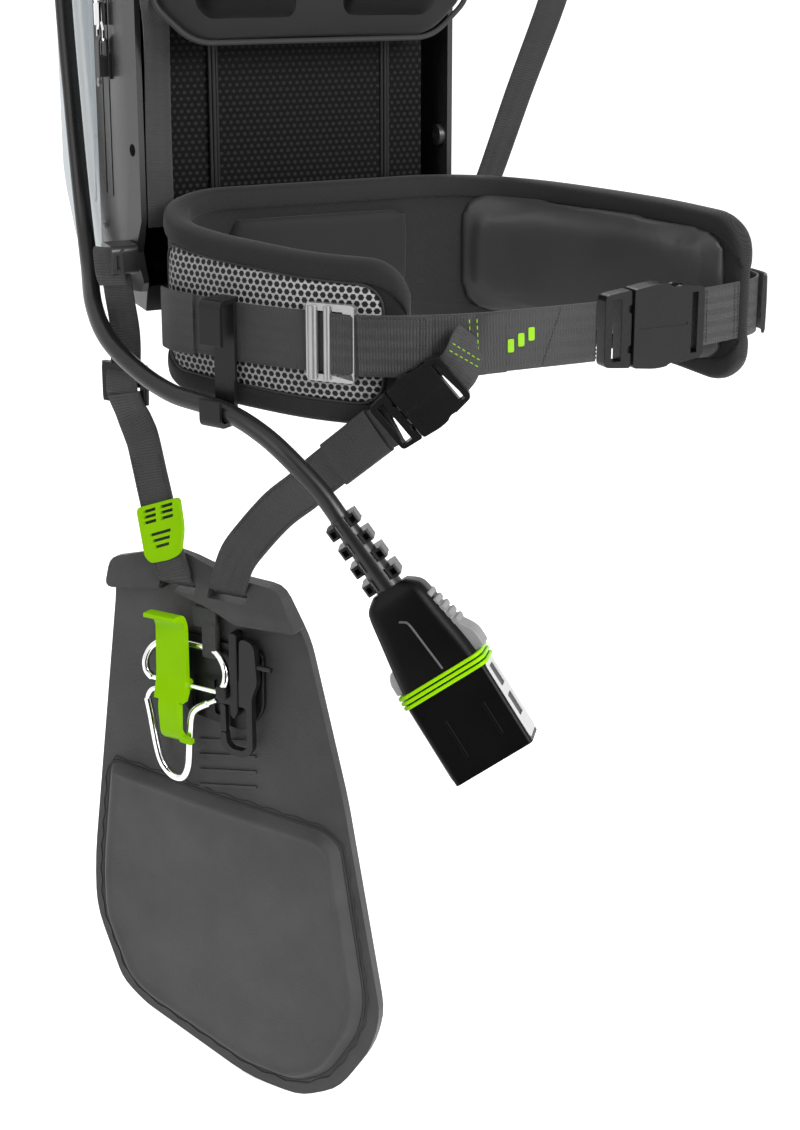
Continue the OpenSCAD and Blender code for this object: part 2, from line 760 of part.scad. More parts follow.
module cord_clip() {
    // Side section: a back plate with a hook over the webbing and a hook under the lead
    top = clip_top;
    low = clip_bottom;
    out = -lead_d - 5;
    translate([clip_at[0], clip_at[1], 0]) rotate([0, 0, clip_yaw]) color("#151516") {
        slab_x([[0, top], [0, low], [-3, low], [-3, top]], -11, 11);
        // Upper hook, open downward
        slab_x(rounded([[-1, top], [-1, top - 4], [out + 4, top - 4], [out + 4, top - 38],
            [out, top - 38], [out, top]], [1, 2, 4, 1, 1, 7]), -11, 11);
        // Lower hook, open upward
        slab_x(rounded([[-1, low], [out - 3, low], [out - 3, low + 24], [out, low + 24],
            [out, low + 4], [-1, low + 4]], [1, 7, 1, 1, 5, 2]), -11, 11);
        // Rib on the plate
        slab_x([[-2.9, low + 40], [-4.5, low + 36], [-4.5, low + 8], [-2.9, low + 4]], 3, 11);
        // Tongue that passes behind the webbing
        slab_x([[5.8, top], [-1, top], [-1, top - 2.4], [4.2, top - 2.4], [4.2, top - 48],
            [5.8, top - 48]], -9, 9);
    }
}

// ---- Stowed snap hook on the left rail ----

stow_y = 128;
stow_x = -half_w - 6;

module stow_tab() {
    x = stow_x - 0.5;
    function at(off, z) = [x + off, stow_y, z];
    color("#161617") {
        // Webbing loop through the hook's eye
        strap(spline([at(-3.4, -272), at(-3.4, -247), at(-3, -240.4), at(0, -236.8),
            at(3, -240.4), at(3.4, -247), at(3.4, -272)], 3), 13, [0, 1, 0], [0, 1, 0], 1.4);
        // Sewn block and the foot that is riveted to the rail
        translate([x - 4.2, stow_y - 7, -272]) cube([8.4, 14, 18]);
        translate([x + 4, stow_y - 9, -274]) cube([2.3, 18, 22]);
    }
}

module stow_hook() {
    x = stow_x - 0.5;
    function at(off, z) = [x, stow_y + off, z];
    color("#d5d8da") {
        // Eye with a straight bar for the webbing loop
        bar(spline([at(-1.9, -223), at(-6, -226), at(-9.6, -232), at(-8.6, -239.4),
            at(-4, -240.6), at(4, -240.6), at(8.6, -239.4), at(9.6, -232), at(6, -226),
            at(1.9, -223)], 3), 3, [1, 0, 0], 8);
        // Swivel sleeve
        translate([x, stow_y, -227]) cylinder(d = 11, h = 19, $fn = 32);
        // Hook body
        slab_x(rounded([[stow_y - 4, -210], [stow_y + 6, -210], [stow_y + 15, -196],
            [stow_y + 15, -160], [stow_y + 2, -148], [stow_y - 12, -156],
            [stow_y - 10, -163], [stow_y + 1, -157], [stow_y + 8, -166],
            [stow_y + 8, -190], [stow_y - 3, -203]],
            [2, 5, 6, 8, 8, 3, 3, 6, 5, 5, 3], 3), x - 3, x + 3);
    }
}

module stow_gate() {
    x = stow_x - 0.5;
    color("#c3c7ca") {
        slab_x(rounded([[stow_y - 9.2, -200], [stow_y - 4.2, -200], [stow_y - 6.4, -166.5],
            [stow_y - 11.4, -166.5]], 1.6, 3), x - 2.4, x + 2.4);
        translate([x, stow_y - 6.6, -203.6]) rotate([0, 90, 0])
            cylinder(d = 4.6, h = 6, center = true, $fn = 32);
        translate([x - 2.4, stow_y - 8.8, -203]) cube([4.8, 4, 6]);
    }
}

// ---- Straps that carry the hip pad ----

module pad_strap_rear() {
    path = spline([in_pad(-99, 119, -4), in_pad(-98, 90, -8), in_pad(-95, 64, -9.5),
        in_pad(-91, 42, -5), in_pad(-89, 24, 0)], 3);
    color("#242425") {
        strap(path, 32, pad_dir);
        // Loop round the lug
        strap(spline([in_pad(-99, 119, -4), in_pad(-99, 133, 0), in_pad(-99, 133, 5),
            in_pad(-98, 112, 4), in_pad(-97, 102, 1)], 3), 32, pad_dir, pad_dir, 1.6);
    }
}

module tri_glide() {
    color("#151516") pad_frame() translate([-89, 0, 0]) {
        difference() {
            translate([0, 0, 14])
                slab_y(box_outline(46, 36, 5), -3.5, 3.5);
            for (z = [4, 17])
                translate([-18, -5, z]) cube([36, 10, 8]);
        }
        // Raised side bars
        for (x = [-21.5, 21.5])
            translate([x, 0, -4]) cylinder(d = 6, h = 36, $fn = 24);
    }
}

module pad_strap_front() {
    across = pad_dir * 0.64 + UP * -0.77;
    color("#262627") {
        // From the buckle's socket up onto the waist webbing
        strap(spline([[13.5, -211.5, -489.8], [23, -213, -479.5], [31, -208.5, -467],
            [38, -205.5, -457]], 4), pad_webbing_w, [-0.575, 0.268, 0.773],
            [-0.16, 0.07, 0.98]);
        // Short end below the buckle's bar
        strap([in_pad(205.5, 27.6, 45), in_pad(199.5, 24, 44), in_pad(193.5, 21, 43)],
            pad_webbing_w - 4, across, across, 4);
    }
}

module at_strap_buckle() {
    translate(strap_buckle_at)
        rotate([0, 0, strap_buckle_yaw])
            rotate([0, -strap_buckle_tilt, 0])
                scale(strap_buckle_scale) translate([-22, 0, 0]) children();
}

module strap_buckle() {
    color("#1a1a1b") at_strap_buckle() {
        buckle_plug();
        buckle_socket();
    }
}

module strap_prong_upper() {
    color("#222223") at_strap_buckle() buckle_prong();
}

module strap_prong_lower() {
    color("#222223") at_strap_buckle() mirror([0, 0, 1]) buckle_prong();
}

module pad_webbing_rear() {
    path = spline([in_pad(-81, -13, 1), in_pad(-79.5, -16.5, 1.6), in_pad(-74.5, -25, 3),
        in_pad(-69, -36, 4.2), in_pad(-63.7, -55, 5.2), in_pad(-59.3, -71, 6.2),
        in_pad(-53.2, -90, 8.2), in_pad(-45.5, -114, 11.2), in_pad(-39, -136, 14.4),
        in_pad(-33, -150, 15.2), in_pad(-30.5, -157, 15), in_pad(-29, -163, 8)], 2);
    color("#242425") strap(path, 36, pad_dir, pad_dir, 4);
}

module pad_webbing_front() {
    across = pad_dir * 0.64 + UP * -0.77;
    path = spline([in_pad(186.5, 15.3, 42), in_pad(166, -1.4, 38),
        in_pad(144.9, -18.6, 34), in_pad(126.3, -34, 30), in_pad(110, -48.7, 26.5),
        in_pad(81.6, -71.8, 21), in_pad(54.5, -101.1, 18), in_pad(35.9, -125.1, 16),
        in_pad(26, -150, 15), in_pad(24, -157, 13.5), in_pad(24, -163, 8)], 2);
    color("#262627") {
        strap(path, pad_webbing_w, across, pad_dir);
        // Sleeve that keeps the webbing's end
        strap(spline([in_pad(184.5, 13.7, 41.6), in_pad(166, -1.4, 38),
            in_pad(144.9, -18.6, 34)], 2), pad_webbing_w + 5, across, across, 6);
    }
}

module pad_slide() {
    // A slot with its middle at (u, v), on the slide's slant
    module slot(u, v, w) {
        slab_y([[u - w / 2, v - 0.2 * w - 1.4], [u + w / 2, v + 0.2 * w - 1.4],
            [u + w / 2, v + 0.2 * w + 1.4], [u - w / 2, v - 0.2 * w + 1.4]], -4, 4);
    }
    color("#8fd400") pad_frame()
        translate([0, -14.4, -115]) rotate([-6.3, 0, 0]) translate([0, 0, 115]) difference() {
            slab_y(rounded([[-72, -97], [-27, -80], [-21, -108], [-23, -131], [-34, -138],
                [-54, -144.5], [-61, -139.5]], [5, 5, 7, 5, 5, 3.5, 3.5]), -2, 2);
            for (k = [0:2]) {
                slot(-57.4 + 0.6 * k, -96.7 - 5.1 * k, 13);
                slot(-39.6 + 0.6 * k, -89.4 - 5.1 * k, 13);
                slot(-44.9 + 1.2 * k, -115 - 5.6 * k, 22 - 3.5 * k);
            }
        }
}

// ---- Hip pad ----

PAD = [[-104, -152], [-38, -132], [24, -148], [72, -150], [98, -196], [134, -340],
    [170, -540], [160, -578], [126, -630], [84, -652], [28, -650], [-90, -608],
    [-116, -590], [-144, -520], [-144, -470], [-106, -190]];
PAD_ROUND = [8, 20, 10, 12, 14, 30, 16, 18, 18, 16, 20, 10, 12, 20, 30, 10];

module pad_plate() {
    outline = rounded(PAD, PAD_ROUND, 3);
    collar = rounded([[-106, -150], [-38, -131], [24, -147], [74, -150], [97, -184],
        [34, -187], [8, -176], [-38, -166], [-106, -176]],
        [8, 16, 8, 10, 5, 5, 6, 8, 8], 3);
    front = -pad_t / 2;
    color("#3a3b3c") pad_frame() {
        difference() {
            union() {
                slab_y(outline, front, pad_t / 2);
                // Sloping collar that overhangs the plate
                intersection() {
                    slab_y(collar, front - collar_rise, front + 1);
                    slab_x([[front + 1.5, -120], [front, -133], [front - collar_rise + 1, -170],
                        [front - collar_rise, -175], [front - collar_rise, -195],
                        [front + 1.5, -195]], -120, 110);
                }
            }
            // Slots for the two webbings
            translate([-48, -30, -167]) cube([38, 40, 8]);
            translate([4, -30, -167]) cube([40, 40, 8]);
        }
        // Raised bars under the hooks
        for (k = [0:3])
            slab_y(rounded([[-18, -312 - 15 * k], [44, -300 - 15 * k], [44, -303 - 15 * k],
                [-18, -315 - 15 * k]], 0.7, 2), -pad_t / 2 - 1.5, -pad_t / 2 + 0.5);
    }
}

module pad_panel() {
    outline = rounded([[-118, -356], [-4, -366], [114, -372], [130, -382], [154, -532],
        [146, -566], [116, -616], [82, -636], [30, -634], [-84, -596], [-106, -580],
        [-132, -518], [-132, -468]], [10, 10, 10, 10, 16, 14, 16, 14, 16, 10, 10, 16, 20], 2);
    color("#3d3e3f") pad_frame()
        cushion(outline, -pad_t / 2 - 0.1, -pad_t / 2 - panel_rise, 2, 4);
}

module hook_bracket() {
    y = -pad_t / 2;
    pin_z = release_at[1];
    color("#18181a") pad_frame() {
        // Plate that carries the quick release and the tool hook
        difference() {
            slab_y(rounded([[-34, -208], [56, -212], [56, -270], [34, -292], [-26, -286],
                [-34, -270]], [6, 8, 12, 10, 8, 7]), y - 5, y + 0.2);
            for (x = [-20, 4])
                translate([x, y - 6, -284]) cube([12, 5, 40]);
        }
        // Upright rib beside the hook
        slab_y(rounded([[28, -194], [36, -194], [36, -268], [32, -276], [28, -272]],
            [3, 3, 3, 2, 2]), y - 17, y - 4.8);
        // Block that takes the right end of the ring
        translate([21, 0, pin_z + 0.5])
            slab_y(box_outline(11, 13, 3), y - 21.5, y - 4.8);
        // Sewn block and the loop that hangs the ring
        translate([-0.5, 0, -187]) slab_y(box_outline(25, 20, 3), y - 12, y - 7.4);
        translate([4, 0, -208]) slab_y(box_outline(15, 34, 3), y - 12.5, y - 4.8);
    }
    // Chrome ring whose straight side is the hinge pin
    color("#d8dbdd") pad_frame() {
        translate([0, y - hook_stand, pin_z])
            rotate([-15, 0, 0]) difference() {
                slab_y(rounded([[25, 14], [14, 37], [-52, 37], [-63, 14], [-58, -2.2],
                    [20, -2.2]], [8, 10, 10, 8, 5, 5]), -2.1, 2.1);
                slab_y(rounded([[20.5, 14], [11, 32.6], [-49.5, 32.6], [-58.4, 14],
                    [-54, 2.4], [16, 2.4]], [6, 7, 7, 6, 3, 3]), -3, 3);
                translate([-54.5, -4, -4]) cube([72, 8, 12]);
            }
        translate([-60.5, y - hook_stand - 4, pin_z - 4]) cube([8, 8, 8]);
        translate([-58, y - hook_stand, pin_z])
            rotate([0, 90, 0]) cylinder(d = 5, h = 78, $fn = 32);
    }
}

module release_lever() {
    y = -pad_t / 2 - hook_stand;
    r = release_at;
    // Side section (y, z) with the pull tab on top and the catch below
    body = rounded([[y - 4, r[1] + 56], [y - 10, r[1] + 64], [y - 22, r[1] + 67],
        [y - 22, r[1] + 71], [y - 6, r[1] + 70], [y + 0.5, r[1] + 58], [y + 0.8, r[1] - 7],
        [y - 4, r[1] - 14], [y - 5, r[1] - 44], [y + 3, r[1] - 52], [y + 1, r[1] - 57],
        [y - 9, r[1] - 50], [y - 12, r[1] - 20], [y - 5.5, r[1] + 6]],
        [5, 4, 1.5, 1.5, 6, 6, 3, 3, 4, 1, 2, 6, 6, 6], 3);
    color("#86cf00") pad_frame() {
        difference() {
            union() {
                slab_x(body, r[0] - 16, r[0] + 16);
                // Eye round the pin
                translate([r[0] - 16, y, r[1]]) rotate([0, 90, 0])
                    cylinder(d = 12, h = 32, $fn = 48);
            }
            translate([r[0] - 20, y, r[1]]) rotate([0, 90, 0])
                cylinder(d = 5.1, h = 40, $fn = 48);
            // The body narrows below the eye
            for (side = [-1, 1])
                translate([r[0] + side * 14.8 - 4, y - 30, r[1] - 70]) cube([8, 40, 56]);
        }
        // Tooth that reaches round the bail's right leg
        slab_y(rounded([[r[0] + 8, r[1] - 48], [r[0] + 21, r[1] - 50], [r[0] + 21, r[1] - 55],
            [r[0] + 8, r[1] - 54]], 1.5), y - 7, y - 2);
    }
}

module wire_bail() {
    // Tapered loop of wire that the catch holds closed
    y = -bail_stand;
    z = bail_z;
    route = [[12, z], [4, z - 4.6], [-9, z - 13], [-14.5, z - 23], [-17, z - 48],
        [-19, z - 70], [-24, z - 82], [-31, z - 85.5], [-40, z - 83], [-49, z - 73],
        [-54, z - 56], [-59, z - 28], [-62, z - 14], [-57, z - 4], [-46, z]];
    color("#d5d8da") pad_frame() {
        bar(spline([for (q = route) [q[0], y, q[1]]], 3), wire_d, [0, 1, 0], 8);
        translate([-48, y, z]) rotate([0, 90, 0])
            cylinder(d = wire_d + 0.4, h = 60, $fn = 24);
    }
}

module tool_hook() {
    y = -pad_t / 2 - tool_hook_out;
    color("#222325") pad_frame() {
        slab_y(rounded([[38, -198], [53, -200], [56, -238], [50, -252], [50, -304],
            [42, -312], [26, -312], [16, -304], [16, -291.4], [22, -291.4], [23, -301],
            [28, -305.5], [40, -305.5], [44, -301], [44, -263], [14, -263.6], [14, -256],
            [32, -250], [37, -240]],
            [6, 8, 5, 5, 5, 5, 5, 5, 1, 1, 2, 3, 3, 2, 4, 1, 3, 5, 5], 3), y - 3.4, y + 3.4);
        // Foot on the bracket's plate
        slab_y(rounded([[39, -206], [52, -208], [53, -236], [40, -236]], 3),
            y + 3.3, -pad_t / 2 - 5.1);
        // Thumb pin
        translate([54, y, -223]) rotate([0, 90, 0]) cylinder(d = 5, h = 15, $fn = 24);
    }
}

module tool_gate() {
    y = -pad_t / 2 - tool_hook_out;
    g = gate_at;
    color("#3a3c3e") pad_frame() {
        slab_y(rounded([[g[0] - 2.6, g[1]], [g[0] + 2.6, g[1]], [g[0] + 3, g[1] - 23.9],
            [g[0] - 3, g[1] - 23.9]], [1, 1, 1, 1], 2), y - 2.6, y + 2.6);
        translate([g[0], y, g[1]]) rotate([90, 0, 0])
            cylinder(d = 5.4, h = 5.6, center = true, $fn = 32);
    }
}

// ---- Power lead ----

module power_cord() {
    color("#161617") bar(spline(LEAD_ROUTE, 3), lead_d, pad_out, 10);
}

// Turns +Z of its children onto a direction and X as near as it goes to the plug's side
module aim(at, dir) {
    x = unit(plug_side - dir * (plug_side * dir));
    y = cross(dir, x);
    multmatrix([[x[0], y[0], dir[0], at[0]], [x[1], y[1], dir[1], at[1]],
        [x[2], y[2], dir[2], at[2]], [0, 0, 0, 1]]) children();
}

module strain_relief() {
    pitch = (relief_l + 3) / 4;
    tooth_h = 10;
    // Middle of a tooth on the left (-1) or right (1) side
    function middle(k, side) = [side * (9.5 + 0.8 * k), -4.2 - 1.3 * side + pitch * k];
    color("#141415") aim(relief_from, relief_dir) difference() {
        union() {
            translate([0, 0, -11])
                cylinder(d1 = lead_d + 1, d2 = lead_d + 8, h = relief_l + 11, $fn = 40);
            for (k = [0:3], side = [-1, 1])
                translate([middle(k, side)[0], 0, middle(k, side)[1] - tooth_h / 2])
                    linear_extrude(tooth_h)
                        polygon(box_outline(10, 18 + 1.5 * k, 3, 3));
        }
        // Pocket in each tooth, front and rear
        for (k = [0:3], side = [-1, 1], face = [-1, 1])
            translate([middle(k, side)[0] + side * 0.6, face * 12.5, middle(k, side)[1]])
                cube([4.6, 18, 5.4], center = true);
    }
}

module power_plug() {
    neck = plug_neck_l;
    w = plug_w;
    t = 46;
    function ring(sx, sy, z, r) = [for (p = box_outline(sx, sy, r, 3)) [p[0], p[1], z]];
    color("#1a1a1b") aim(plug_from, plug_dir) {
        // Tapered housing
        skin([ring(31, 28, -8, 9), ring(47, 33, -1, 10), ring(53, 36, 5, 11),
            ring(60, 39, 27, 12), ring(67, 42, 53, 11), ring(w - 4, t, neck, 9)]);
        // Thumb grip with its ridges, and the bump beyond it
        for (k = [0:4])
            translate([18 + 2 * k, -13, 10 + 7.1 * k]) cube([10.5, 26, 5.3]);
        slab_y(rounded([[16, 8], [26, 11], [34.5, 41], [43.5, 55], [43.5, 69.4], [30, 71]],
            [2, 3, 3, 6, 2, 2], 3), -11.5, 11.5);
        // Lug on the other edge
        slab_y(rounded([[-28, 49.6], [-37, 50.6], [-41, 58], [-41, 69.4], [-30, 70.2]],
            [1, 3, 3, 1, 1], 3), -9, 9);
        // Core and the three bands round it
        translate([0, 0, neck - 2])
            linear_extrude(11) polygon(box_outline(w - 6, t - 3, 7, 3));
        for (k = [0:2])
            translate([0, 0, neck - 3 + 4.2 * k])
                linear_extrude(2.8) polygon(box_outline(w + 5, t + 4, 8, 3));
        // Contact block with its slots
        translate([0, 0, neck + 6.6]) difference() {
            linear_extrude(plug_block_l) polygon(box_outline(w - 2, t - 2, 4, 3));
            translate([-w / 2 + 12, -t / 2 + 9, plug_block_l - 22])
                cube([w - 24, t - 18, 24]);
            for (z = [6, 33])
                translate([w / 2 - 6, -9, z]) cube([8, 18, 19]);
        }
        // Contact blades inside the block's mouth
        for (x = [-20, -7, 7, 20])
            translate([x - 1.2, -7, neck + plug_block_l - 16]) cube([2.4, 14, 18]);
    }
}

left_rail();
right_rail();
spine_housing();
back_plate();
centre_panel();
bottom_tray();
top_bridge();
carry_handle();
battery_side_left();
battery_side_right();
battery_case();
cell_pack();
control_board();
charge_button();
charge_lamps();
cable_gland();
frame_screws();
back_pad();
shoulder_pad_left();
shoulder_pad_right();
shoulder_webbing_left();
shoulder_webbing_right();
strap_adjusters();
hip_belt();
belt_net_left();
belt_net_right();
lumbar_pad();
wing_pad_left();
wing_pad_right();
waist_webbing_rear();
waist_webbing_front();
waist_webbing_end();
ladder_lock();
waist_buckle_plug();
waist_buckle_socket();
waist_prong_upper();
waist_prong_lower();
cord_clip();
stow_tab();
stow_hook();
stow_gate();
pad_strap_rear();
tri_glide();
pad_strap_front();
strap_buckle();
strap_prong_upper();
strap_prong_lower();
pad_webbing_rear();
pad_webbing_front();
pad_slide();
pad_plate();
pad_panel();
hook_bracket();
release_lever();
wire_bail();
tool_hook();
tool_gate();
power_cord();
strain_relief();
power_plug();
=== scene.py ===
"""Dresses a backpack battery carrier: hip belt, padding, webbing, hip pad, hardware and lead."""
import json
import math

import bmesh
import bpy
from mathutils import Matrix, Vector
import numpy as np


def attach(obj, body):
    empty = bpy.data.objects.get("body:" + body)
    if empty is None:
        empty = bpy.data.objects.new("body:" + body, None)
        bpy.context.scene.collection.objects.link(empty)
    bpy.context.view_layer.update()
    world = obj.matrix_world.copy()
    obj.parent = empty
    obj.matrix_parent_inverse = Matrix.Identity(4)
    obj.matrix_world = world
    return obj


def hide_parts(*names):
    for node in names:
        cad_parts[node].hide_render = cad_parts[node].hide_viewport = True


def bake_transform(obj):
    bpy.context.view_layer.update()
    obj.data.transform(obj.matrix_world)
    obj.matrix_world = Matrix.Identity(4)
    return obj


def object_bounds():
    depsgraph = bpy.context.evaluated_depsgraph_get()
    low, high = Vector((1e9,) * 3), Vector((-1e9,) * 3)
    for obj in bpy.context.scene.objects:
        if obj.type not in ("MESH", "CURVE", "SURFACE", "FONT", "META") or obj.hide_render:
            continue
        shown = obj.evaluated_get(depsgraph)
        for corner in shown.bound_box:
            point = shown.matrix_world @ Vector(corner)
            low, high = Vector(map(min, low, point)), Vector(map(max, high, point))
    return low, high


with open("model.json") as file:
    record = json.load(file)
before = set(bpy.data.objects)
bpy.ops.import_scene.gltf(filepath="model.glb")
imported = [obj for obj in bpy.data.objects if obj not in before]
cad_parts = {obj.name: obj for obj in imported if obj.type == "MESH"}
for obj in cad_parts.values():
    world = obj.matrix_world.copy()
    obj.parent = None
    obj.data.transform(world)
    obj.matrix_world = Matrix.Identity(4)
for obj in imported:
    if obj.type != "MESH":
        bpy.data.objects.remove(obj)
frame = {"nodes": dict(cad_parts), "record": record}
cad_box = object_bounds()
MM = 0.001
UP = np.array([0.0, 0.0, 1.0])


# ---------------------------------------------------------------- camera

EYE = (-0.562, -1.395, -0.150)
LENS = 55.1
FRAME_SHIFT = -0.190
PITCH_DOWN, TURN_RIGHT = 13.5, 24.3


def add_object(name, data):
    """A new object for a mesh, lamp or camera, linked to the scene."""
    obj = bpy.data.objects.new(name, data)
    bpy.context.scene.collection.objects.link(obj)
    return obj


def camera():
    """A long lens from the front left, pitched down and turned right, its frame shifted down."""
    data = bpy.data.cameras.new("view")
    data.lens = LENS
    data.shift_y = FRAME_SHIFT
    data.clip_end = 50
    obj = add_object("view", data)
    obj.location = EYE
    obj.rotation_euler = (math.radians(90 - PITCH_DOWN), 0, math.radians(-TURN_RIGHT))
    bpy.context.scene.camera = obj


camera()


# ---------------------------------------------------------------- driving lines, in millimetres

# The lead's route from the gland to its strain relief
LEAD = [(-171, 243, -98), (-171, 243, -130), (-171, 238, -180), (-171, 230, -240),
        (-171, 218, -300), (-171, 205, -360), (-172, 188, -408), (-177, 155, -446),
        (-186, 108, -474), (-186, 62, -496), (-174, 12, -514), (-158, -32, -525),
        (-138.5, -65.5, -529), (-124.9, -87.3, -533), (-112, -112, -541), (-98, -136, -555),
        (-76, -163, -584), (-60, -180, -612)]
LEAD_D = 16.0
RELIEF_LENGTH = 68

# The hip belt's plan with its top and bottom edges: x, y, top, bottom
BELT = [(0, -170, -400, -537), (-31, -149, -399, -537), (-65, -117, -397, -536),
        (-94, -80, -393, -534), (-119, -40, -389, -532), (-135, -4, -383, -529),
        (-128, 32, -373, -520), (-98, 50, -367, -505), (-50, 51, -366, -492),
        (0, 51, -366, -490), (60, 51, -366, -494), (118, 50, -366, -502),
        (165, 34, -367, -508), (207, -4, -369, -512), (244, -62, -372, -517),
        (272, -120, -375, -520), (292, -165, -379, -527), (304, -198, -382, -531)]
BELT_HALF = 11.0  # half of its thickness at the rim
RIM = 24.0        # height of the thick rim along each edge
CORNER = 34.0     # radius of its tips' corners

# The plane of the hanging hip pad: u across it, out toward the front, z up
PIVOT = np.array([-116.0, -4.0, -552.0])
YAW = math.radians(-52)
ACROSS = np.array([math.cos(YAW), math.sin(YAW), 0.0])
OUT = np.array([math.sin(YAW), -math.cos(YAW), 0.0])


def pad_at(u, v, out=0.0):
    """The point of the pad's plane at u, v and a distance out, arrays or numbers."""
    u, v, out = np.broadcast_arrays(*(np.asarray(x, float) for x in (u, v, out)))
    return PIVOT + u[..., None] * ACROSS + out[..., None] * OUT + v[..., None] * UP


def pads(points):
    """A list of the pad's points, each given as u, v and its distance out."""
    return [pad_at(*p) for p in points]


# ---------------------------------------------------------------- curves and meshes

def unit(v):
    """Vectors along the last axis, each divided by its length."""
    return v / np.maximum(np.linalg.norm(v, axis=-1, keepdims=True), 1e-9)


def run_of(line):
    """The length along a line of points, from its first point to each of them."""
    return np.r_[0, np.cumsum(np.linalg.norm(np.diff(line, axis=0), axis=1))]


def points_at(line, run, s):
    """The places at lengths s on a line, whose length up to each of its points is run."""
    return np.stack([np.interp(s, run, column) for column in line.T], -1)


def cubic(a, b, c, d, t):
    """The Catmull-Rom cubic from b to c, whose slopes there follow a and d on either side."""
    return 0.5 * (2 * b + (c - a) * t + (2 * a - 5 * b + 4 * c - d) * t ** 2
                  + (3 * b - a - 3 * c + d) * t ** 3)


def curve(points, step=3.0, dims=3):
    """A Catmull-Rom curve through the points, each span a cubic of its four nearest points,
    taken again at equal steps of arc length, which counts the first dims numbers of a point.
    Returns its points and their arc lengths."""
    p = np.asarray(points, float)
    i = np.arange(len(p) - 1)
    t = np.linspace(0, 1, 16, endpoint=False)[:, None]
    near = (p[np.clip(i + k, 0, len(p) - 1)][:, None, :] for k in (-1, 0, 1, 2))
    fine = np.vstack([cubic(*near, t).reshape(-1, p.shape[1]), p[-1:]])
    run = run_of(fine[:, :dims])
    s = np.linspace(0, run[-1], max(int(run[-1] / step), 3) + 1)
    return points_at(fine, run, s), s


def closed_curve(p, per=4):
    """A closed Catmull-Rom curve through each row of control points."""
    t = np.linspace(0, 1, per, endpoint=False)[:, None]
    q = cubic(*(np.roll(p, k, axis=-2)[..., None, :] for k in (1, 0, -1, -2)), t)
    return q.reshape(*p.shape[:-2], -1, p.shape[-1])


def closed_line(points, step):
    """A closed line through the points, taken again at equal steps of its length."""
    line = np.vstack([points, points[:1]])
    run = run_of(line)
    return points_at(line, run, np.linspace(0, run[-1], max(int(run[-1] / step), 12),
                                            endpoint=False))


def outline(corners, radii, step=3.0):
    """A closed outline whose corners are rounded by parabolas: each starts its radius before a
    corner and ends as far behind it. Taken again at equal steps of length."""
    p = np.asarray(corners, float)
    r = np.broadcast_to(np.asarray(radii, float), len(p))[:, None]
    start = p + unit(np.roll(p, 1, 0) - p) * r
    end = p + unit(np.roll(p, -1, 0) - p) * r
    t = np.linspace(0, 1, 9)[None, :, None]
    q = (1 - t) ** 2 * start[:, None] + 2 * t * (1 - t) * p[:, None] + t ** 2 * end[:, None]
    return closed_line(q.reshape(-1, 2), step)


def inset(loop, by):
    """A closed outline moved inward: each point goes along the mean of its sides' normals."""
    side = unit(np.roll(loop, -1, 0) - loop)
    n = np.stack([-side[:, 1], side[:, 0]], 1)
    n = unit(n + np.roll(n, 1, 0))
    area = np.sum(loop[:, 0] * np.roll(loop[:, 1], -1) - loop[:, 1] * np.roll(loop[:, 0], -1))
    return loop + n * by * np.sign(area)


def link(name, mesh, sharp=35):
    """An object at the origin for a mesh, smooth but for edges sharper than the angle."""
    mesh.shade_smooth()
    mesh.set_sharp_from_angle(angle=math.radians(sharp))
    return add_object(name, mesh)


def outward(mesh):
    """Turns all faces of a closed mesh outward."""
    bm = bmesh.new()
    bm.from_mesh(mesh)
    bmesh.ops.recalc_face_normals(bm, faces=bm.faces)
    bm.to_mesh(mesh)
    bm.free()


def skin(name, grid, uv=None, ring=True, caps=True, sharp=35):
    """A mesh over a grid of points in millimetres, its rows joined in order. With ring, each
    row closes on itself, and caps shut the first and the last row. uv is in metres."""
    n, m = grid.shape[:2]
    r, c = np.meshgrid(np.arange(n - 1), np.arange(m if ring else m - 1), indexing="ij")
    c2 = (c + 1) % m
    quads = np.stack([r * m + c, r * m + c2, (r + 1) * m + c2, (r + 1) * m + c], -1)
    faces = quads.reshape(-1, 4).tolist()
    if ring and caps:
        faces += [np.arange(m)[::-1].tolist(), (np.arange(m) + (n - 1) * m).tolist()]
    mesh = bpy.data.meshes.new(name)
    mesh.from_pydata((grid.reshape(-1, 3) * MM).tolist(), [], faces)
    if uv is None:
        along = run_of(grid.mean(1))
        loop = np.linalg.norm(np.diff(np.concatenate([grid, grid[:, :1]], 1), axis=1), axis=2)
        around = np.concatenate([np.zeros((n, 1)), np.cumsum(loop, 1)], 1)
        uv = np.stack(np.broadcast_arrays(along[:, None], around), -1) * MM
    elif uv.shape[1] == m:
        uv = np.concatenate([uv, uv[:, :1]], 1)
    corners = np.stack([uv[r, c], uv[r, c + 1], uv[r + 1, c + 1], uv[r + 1, c]], 2)
    flat = corners.reshape(-1, 2)
    if ring and caps:
        flat = np.vstack([flat, uv[0, :m][::-1], uv[n - 1, :m]])
    layer = mesh.uv_layers.new(name="metres")
    layer.data.foreach_set("uv", flat.astype(np.float32).ravel())
    mesh.validate()
    if ring and caps:
        outward(mesh)
    return link(name, mesh, sharp)


def axes(path, across):
    """The tangent of a path, its width direction, which is across made square to the tangent,
    and the direction of its thickness."""
    t = unit(np.gradient(path, axis=0))
    w = unit(across - t * np.sum(across * t, axis=1, keepdims=True))
    return t, w, np.cross(t, w)


def circles(w, h, sides):
    """A unit circle for each row of the directions w and h."""
    a = np.linspace(0, 2 * np.pi, sides, endpoint=False)
    return np.cos(a)[None, :, None] * w[:, None] + np.sin(a)[None, :, None] * h[:, None]


